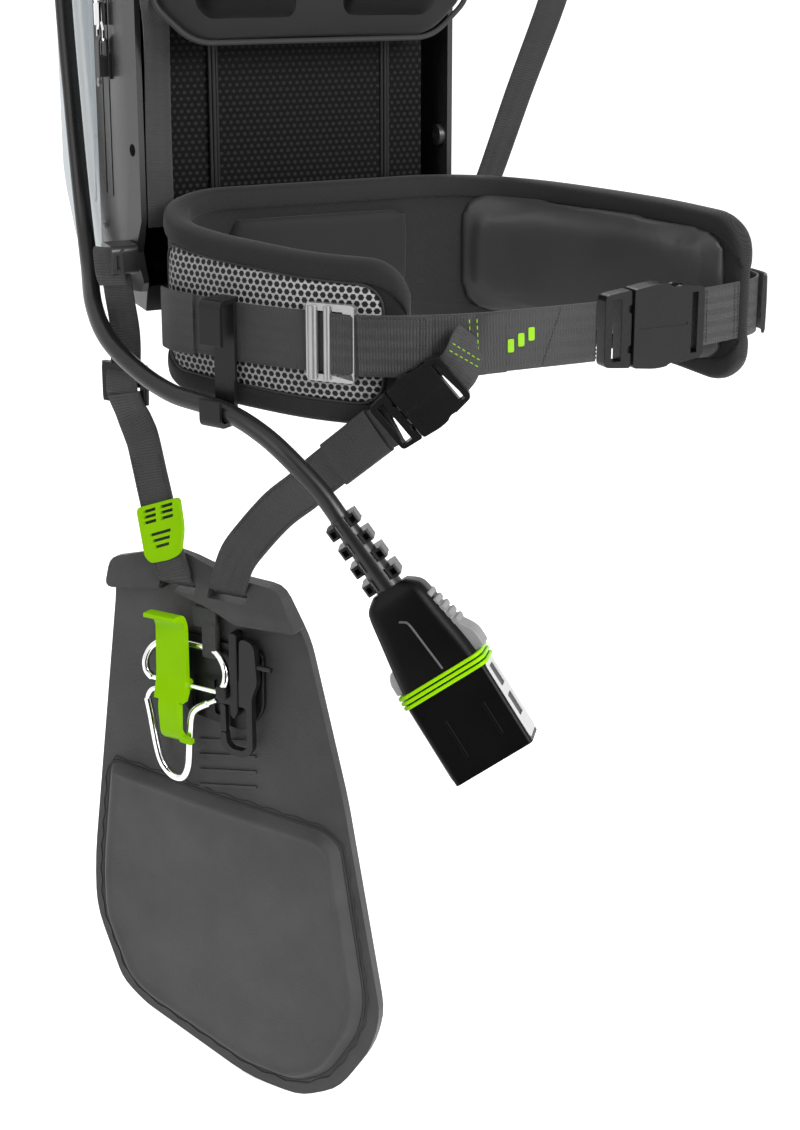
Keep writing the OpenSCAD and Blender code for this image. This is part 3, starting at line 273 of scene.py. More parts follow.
def tube(name, points, d, across, step=None, sides=20):
    """A round tube along the curve through the points: circles square to the path. Its ends
    are rounded by three smaller circles, whose radius falls as a quarter of an ellipse."""
    path, _ = curve(points, step or d * 0.5)
    t, w, h = axes(path, np.broadcast_to(np.asarray(across, float), path.shape))
    circle = circles(w, h, sides)
    k = np.array([0.35, 0.7, 0.92])

    def tip(at, way, c):
        """The end's circles: k of the tip's length out, the radius times root (1 - k^2)."""
        centre = at + way * (k * d * 0.28)[:, None]
        return centre[:, None] + c[None] * (np.sqrt(1 - k ** 2) * d / 2)[:, None, None]

    return skin(name, np.concatenate([tip(path[0], -t[0], circle[0])[::-1],
                                      path[:, None] + circle * d / 2,
                                      tip(path[-1], t[-1], circle[-1])]))


def ring_tube(name, loop, d, sides=10, normal=(0, 1, 0)):
    """A closed round tube along a closed loop of points: circles square to the loop."""
    t = unit(np.roll(loop, -1, 0) - np.roll(loop, 1, 0))
    w = unit(np.cross(t, np.asarray(normal, float)))
    grid = loop[:, None] + circles(w, np.cross(t, w), sides) * d / 2
    obj = skin(name, np.concatenate([grid, grid[:1]]), caps=False)
    bm = bmesh.new()
    bm.from_mesh(obj.data)
    bmesh.ops.remove_doubles(bm, verts=bm.verts, dist=1e-6)
    bmesh.ops.recalc_face_normals(bm, faces=bm.faces)
    bm.to_mesh(obj.data)
    bm.free()
    return obj


def band_lay(points, across, across_end=None, step=3.0):
    """A band's middle line with its arc lengths, and the directions of its width and of its
    thickness. The width direction turns evenly from one end to the other."""
    path, run = curve(points, step)
    k = (run / run[-1])[:, None]
    a = np.asarray(across, float)
    b = a if across_end is None else np.asarray(across_end, float)
    _, w, h = axes(path, a * (1 - k) + b * k)
    return path, run, w, h


def band(name, points, width, thick, across, across_end=None, puff=0.0):
    """Webbing along a curve: a flat section with rounded selvedges, thicker in its middle by
    the puff. Its map runs along u and across v, in metres."""
    path, s, w, h = band_lay(points, across, across_end)
    x = np.array([-1, -0.985, -0.9, -0.45, 0, 0.45, 0.9, 0.985, 1, 0.985, 0.9, 0.45, 0,
                  -0.45, -0.9, -0.985])
    y = np.array([0, 0.75, 1, 1, 1, 1, 1, 0.75, 0, -0.75, -1, -1, -1, -1, -1, -0.75])
    y = y * (1 + puff * (1 - x ** 2))
    grid = path[:, None] + w[:, None] * (x * width / 2)[None, :, None] \
        + h[:, None] * (y * thick / 2)[None, :, None]
    uv = np.stack(np.broadcast_arrays(s[:, None], (x * width / 2)[None]), -1) * MM
    return skin(name, grid, uv, sharp=60)


def on_band(points, across, s, x, lift, across_end=None):
    """Points on a band: at arc length s, a distance x over its width and lift off its middle.
    Also returns the direction of its thickness there."""
    path, run, w, h = band_lay(points, across, across_end)
    s, x, lift = np.broadcast_arrays(*(np.asarray(v, float) for v in (s, x, lift)))
    p, w, h = (points_at(q, run, s) for q in (path, w, h))
    return p + w * x[..., None] + h * lift[..., None], h


def stitches(name, points, up, pitch=3.2, length=2.3, thick=0.75):
    """A row of thread stitches along a path: small spindles of six sides, spaced evenly, each
    lying along the path with its middle raised."""
    path, s = curve(points, 0.5)
    n = max(int(s[-1] / pitch), 1)
    at = (np.arange(n) + 0.5) * s[-1] / n
    c = points_at(path, s, at)
    d = unit(points_at(np.gradient(path, s, axis=0), s, at))
    up = np.broadcast_to(np.asarray(up, float), c.shape)
    side = unit(np.cross(d, up))
    lift = np.cross(side, d)
    along = np.array([-0.5, -0.34, 0.34, 0.5]) * length
    fat = np.array([0.25, 1, 1, 0.25]) * thick / 2
    a = np.linspace(0, 2 * np.pi, 6, endpoint=False)
    ring = side[:, None, None] * np.cos(a)[None, None, :, None] * fat[None, :, None, None] \
        + lift[:, None, None] * np.sin(a)[None, None, :, None] * fat[None, :, None, None]
    pts = c[:, None, None] + d[:, None, None] * along[None, :, None, None] + ring
    base = (np.arange(n) * 24)[:, None, None]
    r, k = np.meshgrid(np.arange(3), np.arange(6), indexing="ij")
    quad = np.stack([r * 6 + k, r * 6 + (k + 1) % 6, (r + 1) * 6 + (k + 1) % 6,
                     (r + 1) * 6 + k], -1).reshape(1, -1, 4) + base
    ends = np.stack([np.arange(6)[::-1], np.arange(6) + 18])[None] + base
    mesh = bpy.data.meshes.new(name)
    mesh.from_pydata((pts.reshape(-1, 3) * MM).tolist(), [],
                     quad.reshape(-1, 4).tolist() + ends.reshape(-1, 6).tolist())
    outward(mesh)
    return link(name, mesh, 60)


def rolled(face, way, draw, height, steps=4):
    """Rows (inset, depth) of a quarter round that ends at a face: the outline is drawn in by
    draw (1 - cos a) while the depth stays height (1 - sin a) short of the face."""
    a = np.linspace(0, np.pi / 2, steps + 1)
    return np.stack([draw * (1 - np.cos(a)), face - way * height * (1 - np.sin(a))], 1)


def plate(name, loop, rear, front, place, edge=1.5):
    """A plate over an outline (u, v) between two depths, its edges quarter rounds, mapped flat."""
    way = np.sign(front - rear)
    rows = np.vstack([rolled(rear, -way, edge, edge)[::-1], rolled(front, way, edge, edge)])
    loops = [inset(loop, by) for by, _ in rows]
    grid = [place(*q.T, depth) for q, (_, depth) in zip(loops, rows)]
    return even_normals(skin(name, np.array(grid), np.array(loops) * MM), 30)


def pierce(obj, *cutters):
    """Cuts closed meshes out of a piece and takes them away."""
    for k, cutter in enumerate(cutters):
        cut = obj.modifiers.new(f"cut_{k}", "BOOLEAN")
        cut.object = cutter
        cut.operation = "DIFFERENCE"
        cut.solver = "EXACT"
    apply(obj)
    for cutter in cutters:
        bpy.data.objects.remove(cutter)
    return even_normals(obj, 30)


def corner_box(w, h, r):
    """A rounded oblong about the middle: quarter circles of radius r at its four corners."""
    a = np.linspace(0, np.pi / 2, 7)
    quarter = np.stack([np.cos(a), np.sin(a)], 1) * r
    turn = np.array([[0, -1], [1, 0]])
    parts = []
    for k, (x, y) in enumerate(((1, 1), (-1, 1), (-1, -1), (1, -1))):
        parts.append(quarter @ np.linalg.matrix_power(turn, k).T
                     + np.array([x * (w / 2 - r), y * (h / 2 - r)]))
    return np.vstack(parts)


def loft(name, rings, place, step=4.0):
    """A closed skin over rounded oblongs (width, depth, place along, corner radius), whose four
    numbers follow one smooth curve."""
    rows, _ = curve(rings, step, dims=4)
    grid = [place(*corner_box(w, h, min(r, w / 2 - 0.1, h / 2 - 0.1)).T, z) for w, h, z, r in rows]
    return skin(name, np.array(grid))


def softened(node, radius, segments):
    """A copy of a solid with its doubles merged, its flat faces joined and its edges rounded."""
    mesh = frame["nodes"][node].data.copy()
    mesh.name = node + "_rounded"
    mesh.materials.clear()
    bm = bmesh.new()
    bm.from_mesh(mesh)
    bmesh.ops.remove_doubles(bm, verts=bm.verts, dist=2e-5)
    bmesh.ops.dissolve_limit(bm, angle_limit=math.radians(1), verts=bm.verts, edges=bm.edges)
    bm.to_mesh(mesh)
    bm.free()
    obj = add_object(node + "_dressed", mesh)
    bevel = obj.modifiers.new("round", "BEVEL")
    bevel.width = radius * MM
    bevel.segments = segments
    bevel.limit_method = "ANGLE"
    bevel.angle_limit = math.radians(30)
    bevel.use_clamp_overlap = True
    bevel.harden_normals = False
    apply(obj)
    return even_normals(obj, 32)


def even_normals(obj, sharp):
    """Smooth but for edges sharper than the angle, and flat faces keep their own normals."""
    obj.data.shade_smooth()
    obj.data.set_sharp_from_angle(angle=math.radians(sharp))
    flat = obj.modifiers.new("flat", "WEIGHTED_NORMAL")
    flat.weight = 100
    flat.keep_sharp = True
    apply(obj)
    return obj


def apply(obj):
    """Replaces an object's mesh by the one its modifiers make."""
    dg = bpy.context.evaluated_depsgraph_get()
    mesh = bpy.data.meshes.new_from_object(obj.evaluated_get(dg))
    obj.modifiers.clear()
    obj.data = mesh


def vertices(obj):
    """The places of an object's vertices, one row each."""
    co = np.zeros(len(obj.data.vertices) * 3)
    obj.data.vertices.foreach_get("co", co)
    return co.reshape(-1, 3)


def swell(obj, voxel, pressure, cap, frames=20):
    """Blows a padded shape up like a filled cover: it is remeshed evenly, cloth under pressure
    runs for some frames, no point moves further than the cap, and the result is smoothed."""
    remesh = obj.modifiers.new("even", "REMESH")
    remesh.mode = "VOXEL"
    remesh.voxel_size = voxel * MM
    apply(obj)
    rest = vertices(obj)
    cloth = obj.modifiers.new("fill", "CLOTH")
    cover = cloth.settings
    cover.use_pressure = True
    cover.uniform_pressure_force = pressure
    cover.effector_weights.gravity = 0
    cover.tension_stiffness = 40
    cover.compression_stiffness = 40
    cloth.point_cache.frame_start = 1
    cloth.point_cache.frame_end = frames
    for f in range(1, frames + 1):
        bpy.context.scene.frame_set(f)
    apply(obj)
    bpy.context.scene.frame_set(1)
    move = vertices(obj) - rest
    far = np.linalg.norm(move, axis=1, keepdims=True)
    new = rest + move * np.minimum(1, cap * MM / np.maximum(far, 1e-9))
    obj.data.vertices.foreach_set("co", new.ravel())
    smooth = obj.modifiers.new("ease", "SMOOTH")
    smooth.iterations = 6
    smooth.factor = 0.5
    sub = obj.modifiers.new("fine", "SUBSURF")
    sub.levels = sub.render_levels = 1
    apply(obj)
    obj.data.shade_smooth()
    return obj


def dress(obj, material, slot, *nodes, body="frame"):
    """Gives a piece its material and its body, and hides what it stands for. slot is not used."""
    obj.data.materials.clear()
    obj.data.materials.append(material)
    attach(obj, body)
    if nodes:
        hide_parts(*nodes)
    return obj


# ---------------------------------------------------------------- shader building blocks

def put(tree, kind, ins=None, **props):
    """A new shader node with its properties set and its inputs linked or filled."""
    node = tree.nodes.new(kind)
    for key, value in props.items():
        setattr(node, key, value)
    for key, value in (ins or {}).items():
        if isinstance(value, bpy.types.NodeSocket):
            tree.links.new(value, node.inputs[key])
        else:
            node.inputs[key].default_value = value
    return node


def calc(tree, op, *values, clamp=False):
    """The output of one Math node."""
    node = put(tree, "ShaderNodeMath", dict(enumerate(values)), operation=op, use_clamp=clamp)
    return node.outputs[0]


def blend_colour(tree, factor, a, b):
    """The output of one colour Mix node."""
    node = put(tree, "ShaderNodeMix", data_type="RGBA", blend_type="MIX")
    for index, value in ((0, factor), (6, a), (7, b)):
        if isinstance(value, bpy.types.NodeSocket):
            tree.links.new(value, node.inputs[index])
        else:
            node.inputs[index].default_value = value
    return node.outputs[2]


def group(name, inputs, outputs):
    """An empty node group with named sockets: inputs with default values, outputs by type."""
    tree = bpy.data.node_groups.new(name, "ShaderNodeTree")
    for key, value in inputs.items():
        kind = "NodeSocketVector" if value == "vector" else "NodeSocketFloat"
        s = tree.interface.new_socket(key, in_out="INPUT", socket_type=kind)
        if kind == "NodeSocketFloat":
            s.default_value = value
    for key in outputs:
        tree.interface.new_socket(key, in_out="OUTPUT", socket_type="NodeSocketFloat")
    return tree, tree.nodes.new("NodeGroupInput"), tree.nodes.new("NodeGroupOutput")


def mottle_group():
    """Slow blotches and fine specks: two noises, each spread over 0 to 1."""
    tree, i, o = group("mottle", {"Vector": "vector", "Size": 40.0, "Speck": 900.0},
                       ["Blotch", "Speck"])
    for key, size, detail in (("Blotch", "Size", 4), ("Speck", "Speck", 2)):
        n = put(tree, "ShaderNodeTexNoise", {
            "Vector": i.outputs["Vector"], "Scale": i.outputs[size], "Detail": detail,
            "Roughness": 0.55})
        spread = calc(tree, "MULTIPLY_ADD", n.outputs[0], 2.2, -0.6, clamp=True)
        tree.links.new(spread, o.inputs[key])
    return tree


def grain_group():
    """Pebbled plastic: cell distances at two sizes, the smaller at half height, plus noise."""
    tree, i, o = group("grain", {"Vector": "vector", "Scale": 900.0}, ["Height"])
    big, small, noise = (
        put(tree, kind, {"Vector": i.outputs[0],
                         "Scale": calc(tree, "MULTIPLY", i.outputs[1], size)}).outputs[0]
        for kind, size in (("ShaderNodeTexVoronoi", 1.0), ("ShaderNodeTexVoronoi", 2.3),
                           ("ShaderNodeTexNoise", 0.35)))
    h = calc(tree, "MULTIPLY_ADD", small, 0.5, big)
    tree.links.new(calc(tree, "MULTIPLY_ADD", noise, 0.8, h), o.inputs[0])
    return tree


def in_pitches(tree, i, tall=1.0):
    """Both places on a map in metres, counted in pitches, the second over a height of tall
    pitches. The group's inputs are the map and the pitch in millimetres."""
    xyz = put(tree, "ShaderNodeSeparateXYZ", {0: i.outputs[0]})
    return [calc(tree, "DIVIDE", calc(tree, "MULTIPLY", xyz.outputs[k], 1000.0 / high),
                 i.outputs[1]) for k, high in enumerate((1.0, tall))]


def half_wave(tree, x):
    """The size of a sine that is nought at each whole number."""
    return calc(tree, "ABSOLUTE", calc(tree, "SINE", calc(tree, "MULTIPLY", x, math.pi)))


def weave_group():
    """Woven threads on a map in metres. Warp and weft are half sine waves at the pitch, and a
    checker of whole thread counts says which of them lies on top. Chevron slants the rows."""
    tree, i, o = group("weave", {"Vector": "vector", "Pitch": 1.4, "Chevron": 0.0}, ["Height"])
    x, y = in_pitches(tree, i)
    x = calc(tree, "MULTIPLY_ADD", calc(tree, "PINGPONG", y, 4.0), i.outputs[2], x)
    count = calc(tree, "ADD", calc(tree, "FLOOR", x), calc(tree, "FLOOR", y))
    odd = calc(tree, "ABSOLUTE", calc(tree, "MODULO", count, 2.0))
    mix = put(tree, "ShaderNodeMix", {0: odd, 2: half_wave(tree, x), 3: half_wave(tree, y)},
              data_type="FLOAT")
    tree.links.new(mix.outputs[0], o.inputs[0])
    return tree


def rib_group():
    """Diagonal ribs of twill on a map in metres: a sine wave over the sum of both directions,
    broken by a shorter wave along each rib."""
    tree, i, o = group("twill", {"Vector": "vector", "Pitch": 2.0, "Slant": 1.0}, ["Height"])
    x, y = in_pitches(tree, i)
    rib = calc(tree, "MULTIPLY_ADD", y, i.outputs[2], x)
    wave = calc(tree, "SINE", calc(tree, "MULTIPLY", rib, 2 * math.pi))
    cross = calc(tree, "SINE", calc(tree, "MULTIPLY", calc(tree, "SUBTRACT", x, y), 2 * math.pi))
    h = calc(tree, "MULTIPLY_ADD", cross, 0.35, wave)
    tree.links.new(calc(tree, "MULTIPLY_ADD", h, 0.37, 0.5, clamp=True), o.inputs[0])
    return tree


def from_middle(tree, x, shift):
    """How far the shifted number lies from the middle of its whole step, 0 to 0.5."""
    share = calc(tree, "FRACT", calc(tree, "ADD", x, shift))
    return calc(tree, "ABSOLUTE", calc(tree, "SUBTRACT", share, 0.5))


def hex_group():
    """Holes on a triangular lattice. The plane is cut into two staggered sets of cells of width
    pitch and height pitch times root three; in each the hexagon distance is the larger of |y|
    and half |y| plus |x| root three halves, and the nearer cell counts. Hole is 1 inside."""
    root = math.sqrt(3)
    tree, i, o = group("hex_holes", {"Vector": "vector", "Pitch": 6.3, "Hole": 2.3, "Soft": 0.4},
                       ["Hole"])
    u, v = in_pitches(tree, i, root)
    found = []
    for shift in (0.0, 0.5):
        x = from_middle(tree, u, shift)
        y = calc(tree, "MULTIPLY", from_middle(tree, v, shift), root)
        slant = calc(tree, "MULTIPLY_ADD", x, root / 2, calc(tree, "MULTIPLY", y, 0.5))
        found.append(calc(tree, "MAXIMUM", y, slant))
    d = calc(tree, "MULTIPLY", calc(tree, "MINIMUM", *found), i.outputs[1])
    edge = calc(tree, "DIVIDE", calc(tree, "SUBTRACT", i.outputs[2], d), i.outputs[3])
    tree.links.new(calc(tree, "MULTIPLY_ADD", edge, 1.0, 0.5, clamp=True), o.inputs[0])
    return tree


MOTTLE = mottle_group()
GRAIN = grain_group()
WEAVE = weave_group()
TWILL = rib_group()
HEX = hex_group()


def use(tree, of_group, vector, **values):
    """A placed group with its vector linked and its numbers set."""
    node = put(tree, "ShaderNodeGroup", node_tree=of_group)
    tree.links.new(vector, node.inputs[0])
    for key, value in values.items():
        node.inputs[key.capitalize()].default_value = value
    return node


def grey(v):
    """A full colour from one level or from three."""
    return (v, v, v, 1.0) if isinstance(v, (int, float)) else (*v, 1.0)


def surface(name, colour, rough, pattern=None, depth=0.3, contrast=0.25, spread=0.06,
            fixed=None, uv=False, under=None, shine=0.5):
    """A material on the Principled shader. Its colour shifts by the blotches and by the
    pattern's height, its roughness by both, and the pattern's height is its bump. Where a
    grain, weave or twill lies low its colour is darkened: a painted shade. pattern is a group
    with its values; under is the colour in the pattern's low places or holes. depth is the
    bump's height in millimetres, contrast and spread say how far colour and roughness go,
    shine is the reflection's level and fixed holds further values of the shader."""
    mat = bpy.data.materials.new(name)
    mat.use_nodes = True
    tree = mat.node_tree
    bsdf = tree.nodes["Principled BSDF"]
    where = put(tree, "ShaderNodeTexCoord")
    spots = use(tree, MOTTLE, where.outputs["Object"], size=14.0, speck=1400.0)
    base = grey(colour)
    low = tuple(c * (1 - contrast * 0.6) for c in base[:3]) + (1.0,)
    high = tuple(min(1, c * (1 + contrast * 0.5)) for c in base[:3]) + (1.0,)
    tone = blend_colour(tree, spots.outputs["Blotch"], low, high)
    rough_out = calc(tree, "MULTIPLY_ADD", spots.outputs["Blotch"], spread, rough - spread / 2)
    height = spots.outputs["Speck"]
    if pattern:
        height = use(tree, pattern[0], where.outputs["UV" if uv else "Object"],
                     **pattern[1]).outputs[0]
        dark = grey(under) if under is not None else tuple(c * 0.35 for c in base[:3]) + (1.0,)
        if pattern[0] is HEX:
            tone = blend_colour(tree, height, tone, dark)
            height = calc(tree, "SUBTRACT", 1.0, height)
        else:
            # low places of the grain, weave or twill are blended toward dark: painted shade
            share = calc(tree, "MULTIPLY_ADD", height, contrast * 2, 1 - contrast * 2, clamp=True)
            tone = blend_colour(tree, share, dark, tone)
        rough_out = calc(tree, "MULTIPLY_ADD", height, -0.08, calc(tree, "ADD", rough_out, 0.04))
    bump = put(tree, "ShaderNodeBump", {"Strength": 1.0, "Distance": depth * MM, "Height": height})
    tree.links.new(bump.outputs[0], bsdf.inputs["Normal"])
    tree.links.new(tone, bsdf.inputs["Base Color"])
    tree.links.new(rough_out, bsdf.inputs["Roughness"])
    for key, value in {"Specular IOR Level": shine, **(fixed or {})}.items():
        bsdf.inputs[key].default_value = value
    return mat


MOULDED = surface("moulded_black", 0.009, 0.36, (GRAIN, {"scale": 1500.0}), 0.05, 0.25,
                  shine=0.25)
GRIP = surface("soft_grip", 0.015, 0.62, (GRAIN, {"scale": 1100.0}), 0.10, 0.3, shine=0.25)
COAT = surface("powder_coat", 0.035, 0.36, (GRAIN, {"scale": 1300.0}), 0.035, 0.2, shine=0.4)
CASING = surface("pale_casing", (0.72, 0.80, 0.84), 0.30, None, 0.015, 0.05,
                 fixed={"Coat Weight": 0.25, "Coat Roughness": 0.15})
CHARCOAL = surface("grained_skin", 0.066, 0.44, (GRAIN, {"scale": 1150.0}), 0.30, 0.5, shine=0.3)
# A darker copy of the grained skin for the pad's plate: its difference from the cushion's is
# painted shade
PLATE_SKIN_SHADED = surface("grained_skin_plate_shaded", 0.058, 0.46, (GRAIN, {"scale": 1150.0}), 0.30, 0.5, shine=0.3)
TWILL_FABRIC = surface("twill_fabric", 0.021, 0.72, (TWILL, {"pitch": 2.2}), 0.30, 0.35, uv=True,
                       fixed={"Sheen Weight": 0.12, "Sheen Roughness": 0.5}, shine=0.2)
FOAM_SKIN = surface("smooth_lobe", 0.032, 0.44, (GRAIN, {"scale": 1800.0}), 0.04, 0.25,
                    fixed={"Sheen Weight": 0.08}, shine=0.4)
LOBE_SKIN = surface("back_lobe", 0.004, 0.42, (GRAIN, {"scale": 1800.0}), 0.04, 0.25, shine=0.12)
BINDING = surface("edge_binding", 0.032, 0.55, (TWILL, {"pitch": 1.3}), 0.12, 0.3, uv=True,
                  shine=0.3)
WEBBING = surface("woven_webbing", 0.045, 0.50, (WEAVE, {"pitch": 1.25, "chevron": 1.0}), 0.30,
                  0.5, uv=True, fixed={"Sheen Weight": 0.15}, shine=0.35)
# The net's near-black holes are the dark foam behind them, deepened by painted shade
NET = surface("spacer_net", 0.46, 0.62, (HEX, {"pitch": 6.2, "hole": 2.25, "soft": 0.5}), 0.9,
              0.2, uv=True, under=0.006, shine=0.3)
PERFORATED = surface("perforated_plate", 0.004, 0.45,
                     (HEX, {"pitch": 6.3, "hole": 1.7, "soft": 0.5}), 0.5, 0.25, uv=True,
                     under=0.02, shine=0.06)
ALLOY = surface("cast_alloy", 0.42, 0.42, (GRAIN, {"scale": 1600.0}), 0.03, 0.12,
                fixed={"Metallic": 0.75})
CHROME = surface("bright_plating", 0.86, 0.06, None, 0.002, 0.03, 0.02, fixed={"Metallic": 1.0})
LIME = surface("lime_plastic", (0.32, 0.70, 0.0), 0.34, None, 0.012, 0.10, shine=0.08)
GUNMETAL = surface("satin_black_metal", 0.02, 0.30, None, 0.02, 0.25, fixed={"Metallic": 0.3},
                   shine=0.3)
LEAD_SKIN = surface("lead_rubber", 0.014, 0.36, (GRAIN, {"scale": 1500.0}), 0.03, 0.3, shine=0.4)
PLUG_SKIN = surface("plug_shell", 0.003, 0.42, (GRAIN, {"scale": 1300.0}), 0.04, 0.3, shine=0.12)
# A lighter grey for the plug's raised line: a painted highlight
GREY_LINE = surface("raised_line", 0.09, 0.5, (GRAIN, {"scale": 1300.0}), 0.03, 0.2)
PALE_GRIP = surface("grey_rubber", 0.25, 0.55, (GRAIN, {"scale": 1300.0}), 0.05, 0.15)
STEEL = surface("plated_steel", 0.45, 0.35, None, 0.01, 0.1, fixed={"Metallic": 1.0})
CELL = surface("cell_sleeve", (0.05, 0.14, 0.30), 0.35, None, 0.01, 0.2)
BOARD = surface("circuit_board", (0.01, 0.10, 0.03), 0.4, None, 0.01, 0.2)
LAMP = surface("lamp_lens", (0.25, 0.5, 0.05), 0.2, None, 0.005, 0.1)
THREAD = surface("dark_thread", 0.05, 0.6, None, 0.02, 0.2, shine=0.2)
LIME_THREAD = surface("lime_thread", (0.30, 0.62, 0.02), 0.55, None, 0.02, 0.15, shine=0.2)
# A pale grey for the plug's sides and lug: a painted reflection
SIDE_REFLECTION_GREY = surface("painted_side_reflection", 0.62, 0.45, None, 0.01, 0.1)


# ---------------------------------------------------------------- rigid parts

BODY_OF = {n: b for b, ns in frame["record"]["behaviour"]["bodies"].items() for n in ns}


def rigid(node, material, slot, radius, segments):
    """A solid's rounded copy in place of the solid, on the solid's own body."""
    dress(softened(node, radius, segments), material, slot, node, body=BODY_OF[node])


# Solids whose rounded copies are shown: names, material, slot, edge radius and its segments
ROUNDED = [
    ("left_rail right_rail", COAT, "rail", 1.6, 3),
    ("spine_housing bottom_tray top_bridge battery_case", MOULDED, "moulded", 1.4, 2),
    ("carry_handle", GRIP, "moulded", 2.0, 2),
    ("battery_side_left battery_side_right", CASING, "casing", 1.2, 3),
    ("charge_button", MOULDED, "moulded", 0.8, 2),
    ("charge_lamps", LAMP, "lamp", 0.5, 2),
    ("cable_gland", LEAD_SKIN, "lead", 1.0, 2),
    ("frame_screws", STEEL, "steel", 0.4, 2),
    ("strap_adjusters", MOULDED, "moulded", 1.0, 2),
    ("ladder_lock", ALLOY, "alloy", 0.9, 3),
    ("waist_buckle_plug waist_buckle_socket strap_buckle", MOULDED, "moulded", 1.3, 3),
    ("waist_prong_upper waist_prong_lower strap_prong_upper strap_prong_lower", MOULDED,
     "moulded", 0.8, 2),
    ("cord_clip", MOULDED, "moulded", 1.0, 3),
    ("stow_tab", WEBBING, "webbing", 0.5, 2),
    ("stow_hook", CHROME, "chrome", 1.0, 3),
    ("stow_gate", CHROME, "chrome", 0.8, 2),
    ("tri_glide", MOULDED, "moulded", 0.9, 2),
    ("pad_slide", LIME, "lime", 1.0, 3),
    ("release_lever", LIME, "lime", 1.4, 3),
    ("tool_hook", GUNMETAL, "gunmetal", 1.2, 3),
    ("tool_gate", GUNMETAL, "gunmetal", 0.9, 2),
    ("strain_relief", LEAD_SKIN, "lead", 1.0, 3),
]
for names, material, slot, radius, segments in ROUNDED:
    for name in names.split():
        rigid(name, material, slot, radius, segments)
for name, material in (("cell_pack", CELL), ("control_board", BOARD)):
    frame["nodes"][name].data.materials.clear()
    frame["nodes"][name].data.materials.append(material)


def flat_y(u, v, d):
    """Points of a plate that stands across Y: u is X, v is Z and d is Y."""
    u, v, d = np.broadcast_arrays(u, v, d)
    return np.stack([u, d, v], -1)


def perforated_back():
    """The plate behind the back, pierced all over, and the framed panel in its middle."""
    loop = outline([(121, 28), (-121, 28), (-121, -452), (121, -452)], 3)
    dress(plate("back_plate_dressed", loop, 73, 70, flat_y, 0.6), PERFORATED, "moulded",
          "back_plate")
    loop = outline([(86, 10), (-86, 10), (-86, -444), (86, -444)], 8)
    panel = plate("centre_panel_dressed", loop, 69.6, 66.6, flat_y, 0.6)
    dress(panel, PERFORATED, "moulded", "centre_panel")
    for k, by in enumerate((1.2, 4.2, 7.0)):
        path = inset(loop, by)
        rail = ring_tube(f"panel_rim_{k}", flat_y(*path.T, 66.2 - 1.4 * (k == 1)), 3.4)
        dress(rail, MOULDED, "moulded")


perforated_back()


# ---------------------------------------------------------------- back and shoulders

def pillow(name, loop, rear, front, crown, roll, rings=12):
    """A stuffed shape over an outline: up a quarter round of radius roll at the rear, along the
    side, over a wider one at the front, then to the middle, the height growing by the crown
    times 1 - f^3 where f is the share of the outline's size."""
    way = np.sign(front - rear)
    wide = roll * 1.5
    rows = np.vstack([rolled(rear, -way, roll, roll)[::-1], rolled(front, way, wide, roll * 1.2)])
    grid = [flat_y(*inset(loop, by).T, depth) for by, depth in rows]
    top, c = inset(loop, wide), loop.mean(0)
    for k in range(1, rings):
        f = 1 - k / rings
        grid.append(flat_y(*(c + (top - c) * f).T, front + way * crown * (1 - f ** 3)))
    return skin(name, np.array(grid))


def back_padding():
    """A twill base with a bound edge and two smooth lobes that swell out of it."""
    w, low = 148, -240
    loop = outline([(w, -36), (-w, -36), (-w, low + 34), (-w + 36, low), (w - 36, low),
                    (w, low + 34)], [26, 26, 14, 18, 18, 14], 4)
    base = pillow("back_pad_base", inset(loop, 1.5), 61, 21, 1.5, 6)
    dress(swell(base, voxel=5.5, pressure=3.0, cap=2.5), TWILL_FABRIC, "foam", "back_pad")
    dress(ring_tube("back_pad_binding", flat_y(*inset(loop, 1.0).T, 27), 5.0), BINDING, "foam")
    for side, tag in ((-1, "left"), (1, "right")):
        lobe = outline([(side * 118, -52), (side * 16, -52), (side * 16, low + 16),
                        (side * 108, low + 16), (side * 120, low + 40)],
                       [22, 16, 14, 12, 12], 4)
        obj = pillow(f"back_pad_lobe_{tag}", inset(lobe, 2.0), 27, 16, 5, 5)
        dress(swell(obj, voxel=5.0, pressure=4.0, cap=4.0), LOBE_SKIN, "foam")


back_padding()


# The middle lines of both shoulder pads, from the frame over the shoulder to the chest
RIGHT_SHOULDER = [(84, 66, -14), (86, 48, 2), (90, 22, 10), (98, -12, 9), (112, -44, -12),
                  (136, -66, -52), (166, -70, -96), (196, -52, -136), (210, -38, -156)]
LEFT_SHOULDER = [(-84, 66, -14), (-86, 48, 2), (-90, 22, 10), (-98, -12, 9),
                 (-112, -44, -12), (-130, -60, -50), (-146, -56, -92), (-154, -34, -126),
                 (-156, -16, -146)]


def shoulder_pad(name, points, across_end, node):
    """A padded strap: a section between an ellipse and a box, its powers 0.45 and 0.8, carried
    along the curve and narrowed at both ends."""
    half, thick = 29.5, 6.0
    path, s, w, h = band_lay(points, (1, 0, 0), across_end, 4)
    a = np.linspace(0, 2 * np.pi, 40, endpoint=False)
    x = np.sign(np.cos(a)) * np.abs(np.cos(a)) ** 0.45 * half
    y = np.sign(np.sin(a)) * np.abs(np.sin(a)) ** 0.8 * thick
    end = 1 - 0.42 * np.abs(2 * (s / s[-1])[:, None] - 1) ** 14
    grid = path[:, None] + w[:, None] * (x[None] * end)[..., None] + h[:, None] * y[None, :, None]
    uv = np.stack(np.broadcast_arrays(s[:, None], x[None]), -1) * MM
    pad = skin(name, grid, uv)
    dress(swell(pad, voxel=5.0, pressure=3.0, cap=2.0), FOAM_SKIN, "foam", node)
    for side in (-1, 1):
        edge = path + w * side * (half - 3) * end
        for face in (-1, 1):
            row = stitches(f"{name}_seam_{side + 1}{face + 1}", edge + h * face * (thick + 0.4),
                           UP, 4.0, 2.8, 0.8)
            dress(row, THREAD, "webbing")


